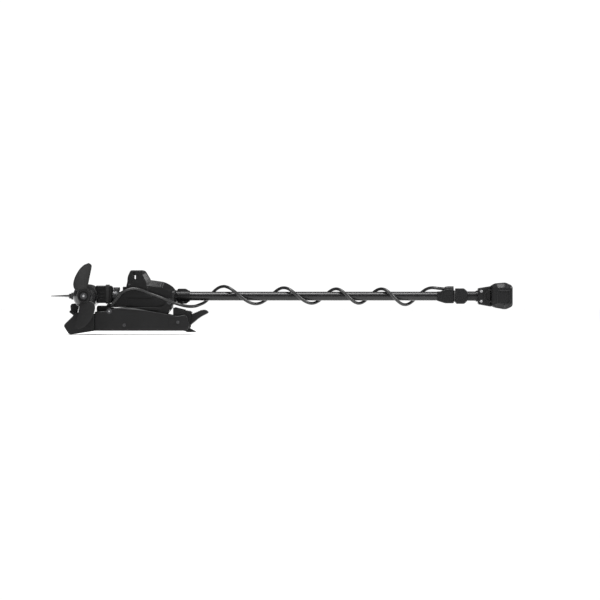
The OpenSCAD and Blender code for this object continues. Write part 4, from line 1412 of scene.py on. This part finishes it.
@dataclass
class LiftingArms:
    """The two arms that swing the housing up, their crossbar and pins, and the tie link."""

    near: float = 66.0
    far: float = 76.0

    def build(self) -> None:
        """Makes the arms, the crossbar, the pins and the tie link."""
        corners = [(-122, 61), (-104, 58), (70, 49), (84, 52), (108, 84), (110, 108), (90, 112),
                   (82, 92), (60, 84), (-104, 82), (-122, 80)]
        outline = shaped(corners, 5.0, 5.0)
        body = slab(outline, self.near, self.far, 1.2)
        for place in (LIFT_AXLE, HOUSING_AXLE):
            body = body + cross_rod(place, self.near, 10, 14, 1.2)
        hollow = plate([(-90, 65), (60, 59), (60, 74), (-90, 74)], self.near + 4, self.far + 2, 6.0, 0.3)
        cut = together([cross_rod(LIFT_AXLE, 60, 22, 7.06, 0.1), cross_rod(HOUSING_AXLE, 60, 22, 6.05, 0.1),
                        hollow])
        add_piece("lift_arm_far", body, ARM, "arm", ("arm_right",), cut)
        add_piece("lift_arm_near", body.mirrored(), ARM, "arm", ("arm_left",), cut.mirrored())
        add_piece("lift_crossbar", cross_rod((70, 58), -65.9, 131.8, 7, 0.8, 48), ARM, "arm",
                  ("arm_crossbar",))
        pin = cross_rod(HOUSING_AXLE, 50, 27, 6, 0.6) + cross_rod(HOUSING_AXLE, 76.2, 2.8, 10, 1.0)
        add_piece("lift_pins", pin.paired(), BLACKED, "arm", ("housing_pins",))
        self.tie()

    def tie(self) -> None:
        """Makes the tie link: two bars with a wide eye, and a tube between them."""
        bar = plate([(-132, 60), (10, 85), (10, 70), (-128, 46)], 45, 55, 1.0, 1.0)
        bar = bar + cross_rod(TIE_DECK_AXLE, 45, 10, 12, 1.0)
        bar = bar + cross_rod(TIE_HOUSING_AXLE, 45, 10, 16, 1.0, 56)
        spine = cross_rod(TIE_DECK_AXLE, -46, 92, 9, 0.5)
        cut = cross_rod(TIE_DECK_AXLE, -70, 140, 5.06, 0.1)
        cut = cut + cross_rod(TIE_HOUSING_AXLE, -70, 140, 12, 0.1, 56)
        add_piece("tie_link_frame", bar.paired() + spine, ARM, "tie_link", ("tie_link",), cut)


# ---------------------------------------------------------------- control head


@dataclass
class ControlHead:
    """The cable clamp, connector, neck, bracket and head at the shaft's far end."""

    x: float = CLAMP_X
    z: float = SHAFT_Z
    shell: tuple = ((193.4, 88), (209, 82), (245, 75.6), (271, 87), (271, 161), (245, 173.5),
                    (209, 170), (193.4, 161))

    def build(self) -> None:
        """Makes the head's pieces, from the clamp outwards."""
        self.clamp()
        self.connector()
        self.bracket()
        self.head()

    def clamp(self) -> None:
        """Makes the cable clamp, whose nipple takes the cable's end."""
        corners = [(0, 107), (30, 98), (60, 98), (60, 151), (34, 151), (12, 141), (0, 141)]
        body = slab(shaped(corners, 4.0), -22, 22, 4.5, steps=6)
        nipple = [(28, 0.5), (28, 7.6), (29, 8.4), (38, 9.6), (39, 10), (59, 10), (60, 9.4), (60, 0.5)]
        nose = lathe(nipple, (0, 0, 149.5), 0, 40)
        cut = together([rod(0, (-4, 0, self.z), 70, 16.1, 0.1, 64), rod(0, (24, 0, 149.5), 26, 5.8, 0.1),
                        plate([(-12, 142), (12, 142), (12, 164), (-12, 164)], -4, 28, 2.0, 0.2, Plane.CROSS)])
        add_piece("clamp_body", (body + nose).moved(self.x), HOUSING, "shaft", ("cable_clamp",),
                  cut.moved(self.x))
        groove = together([plate(rectangle(x, x + 2.2, 101, 148), -22.4, 22.4, 0.5, 0.4)
                           for x in (44, 50)])
        add_piece("clamp_ribs", groove.moved(self.x), HOUSING, "shaft")

    def connector(self) -> None:
        """Makes the stepped connector and the neck tube behind it."""
        corners = [(66, 101), (70, 96), (97, 96), (108, 106), (108, 142), (96, 152), (66, 152)]
        body = slab(shaped(corners, 3.5), -26, 26, 4.5, steps=6)
        collar = lathe([(60.2, 16.2), (60.2, 20), (60.8, 20.6), (65.4, 20.6), (66, 20), (66, 16.2)],
                       (0, 0, self.z), 0, 64, ring=True)
        add_piece("connector_block", body.moved(self.x), HOUSING, "shaft", ("connector",),
                  rod(0, (self.x + 50, 0, self.z), 22, 16.1, 0.1, 64))
        add_piece("connector_seal", collar.moved(self.x), RUBBER, "shaft")
        neck = [(108.2, 10), (108.2, 16.4), (109, 17), (138, 17), (139.6, 18.2), (140, 20), (146.6, 20),
                (147, 19.4), (147, 10)]
        add_piece("head_neck_tube", lathe(neck, (self.x, 0, self.z), 0, 72, ring=True), HOUSING, "shaft",
                  ("head_neck",))

    def bracket(self) -> None:
        """Makes the bracket and the two slotted screws on each side of it."""
        corners = [(147.3, 97), (150, 94), (193, 86), (193, 160), (150, 153), (147.3, 150)]
        body = slab(shaped(corners, (1.5, 2, 2, 2, 2, 1.5)), -30, 30, 3.0, steps=6)
        add_piece("bracket_body", body.moved(self.x), RAIL, "shaft", ("head_bracket",))
        heads = []
        for z in (self.z - 18, self.z + 18):
            heads += [cross_rod((158, z), 29.6, 3.4, 4.2, 0.9), cross_rod((158, z), 29.4, 0.9, 5.2, 0.3)]
        caps = together(heads).moved(self.x)
        slots = together([plate(rectangle(153, 163, z - 0.7, z + 0.7), 32.2, 35, 0.2, 0.1)
                          for z in (self.z - 18, self.z + 18)]).moved(self.x)
        add_piece("bracket_screws", caps.paired(), SCREW, "shaft", ("head_screws",),
                  slots.paired())

    def arc(self, radius: float, wide: float, start: float, stop: float, low: float, high: float) -> Surface:
        """Makes an arc-shaped rib about the hinge.

        Args:
            radius: The arc's radius.
            wide: The rib's width.
            start: Where it starts, in degrees.
            stop: Where it ends.
            low: Its inner Y.
            high: Its outer Y.

        Returns:
            The rib.
        """
        a = np.radians(np.linspace(start, stop, 36))
        out = np.column_stack([np.cos(a), np.sin(a)])
        loop = np.vstack([out * (radius + wide / 2), out[::-1] * (radius - wide / 2)])
        return slab(loop + (191, self.z + 1), low, high, 0.8)

    def head(self) -> None:
        """Makes the two shells, each with a bevelled side, a sunk panel and an arc about the hinge.

        The bevel is 4 wide, and wider by 12 times the upright part of the outline's normal.
        """
        outline = shaped(self.shell, (3, 5, 9, 9, 9, 9, 5, 3))
        middle = np.array([232, 124.5])
        body = slab(outline, SEAM, 31, 0.3, 3.0, steps=6)
        edge = 4.0 + 12.0 * np.abs(facing(outline)[:, 1])
        raised = slab(middle + (outline - middle) * 0.965, 22, 45.2, 0.3, edge, steps=5, bevel=True)
        panel = plate(rectangle(218, 258, 100, 142), 43.4, 48, 4.0, 0.3)
        bezel = plate(rectangle(214, 261, 97, 145), 42, 46, 6.0, 1.8)
        hinge = self.arc(21, 5.5, 48, 312, 29, 38.5)
        for name, node, flip in (("far", "head_far", False), ("near", "head_near", True)):
            part, cut = (body + raised + bezel).moved(self.x), panel.moved(self.x)
            rib = hinge.moved(self.x)
            part, cut, rib = (part.mirrored(), cut.mirrored(), rib.mirrored()) if flip else (part, cut, rib)
            add_piece("head_shell_" + name, part, HEAD, "shaft", (node,), cut)
            add_piece("head_hinge_rib_" + name, rib, HOUSING, "shaft")


# ---------------------------------------------------------------- carried-over nodes


@dataclass
class CarriedNodes:
    """The frame's own nodes that stay in sight, and their finishes."""

    finishes: dict = field(default_factory=lambda: {
        "base_plate": RAIL, "pedal_pin": STEEL, "pedal_spring": STEEL, "latch_hook": ARM,
        "latch_pin": STEEL, "deck_washers": RUBBER, "arm_pins": STEEL, "link_brackets": RAIL,
        "steer_motor": ALLOY, "controller_board": BOARD, "sleeve_bearings": BRASS,
        "drive_sleeve": ALLOY, "drive_gear": BRASS, "pinion": BRASS, "stator": COPPER,
        "pod_bearings": STEEL, "rotor": COPPER})

    def build(self) -> None:
        """Dresses each node in its finish."""
        for name, finish in self.finishes.items():
            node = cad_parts[name]
            node.data.materials.clear()
            node.data.materials.append(PAINTS.of(finish))
            log.info("%s: kept, in %s", name, finish.name)


def main() -> None:
    """Builds the scene: the stage and cable first, then the motor from front to back."""
    logging.basicConfig(level=logging.INFO, format="%(message)s")
    for part in (Studio(), CoiledCable(), MotorPod(), Propeller(), ShaftLine(), SteeringHousing(),
                 DeckMount(), RearEnd(), LiftingArms(), ControlHead(), CarriedNodes()):
        part.build()


if __name__ == "__main__":
    main()
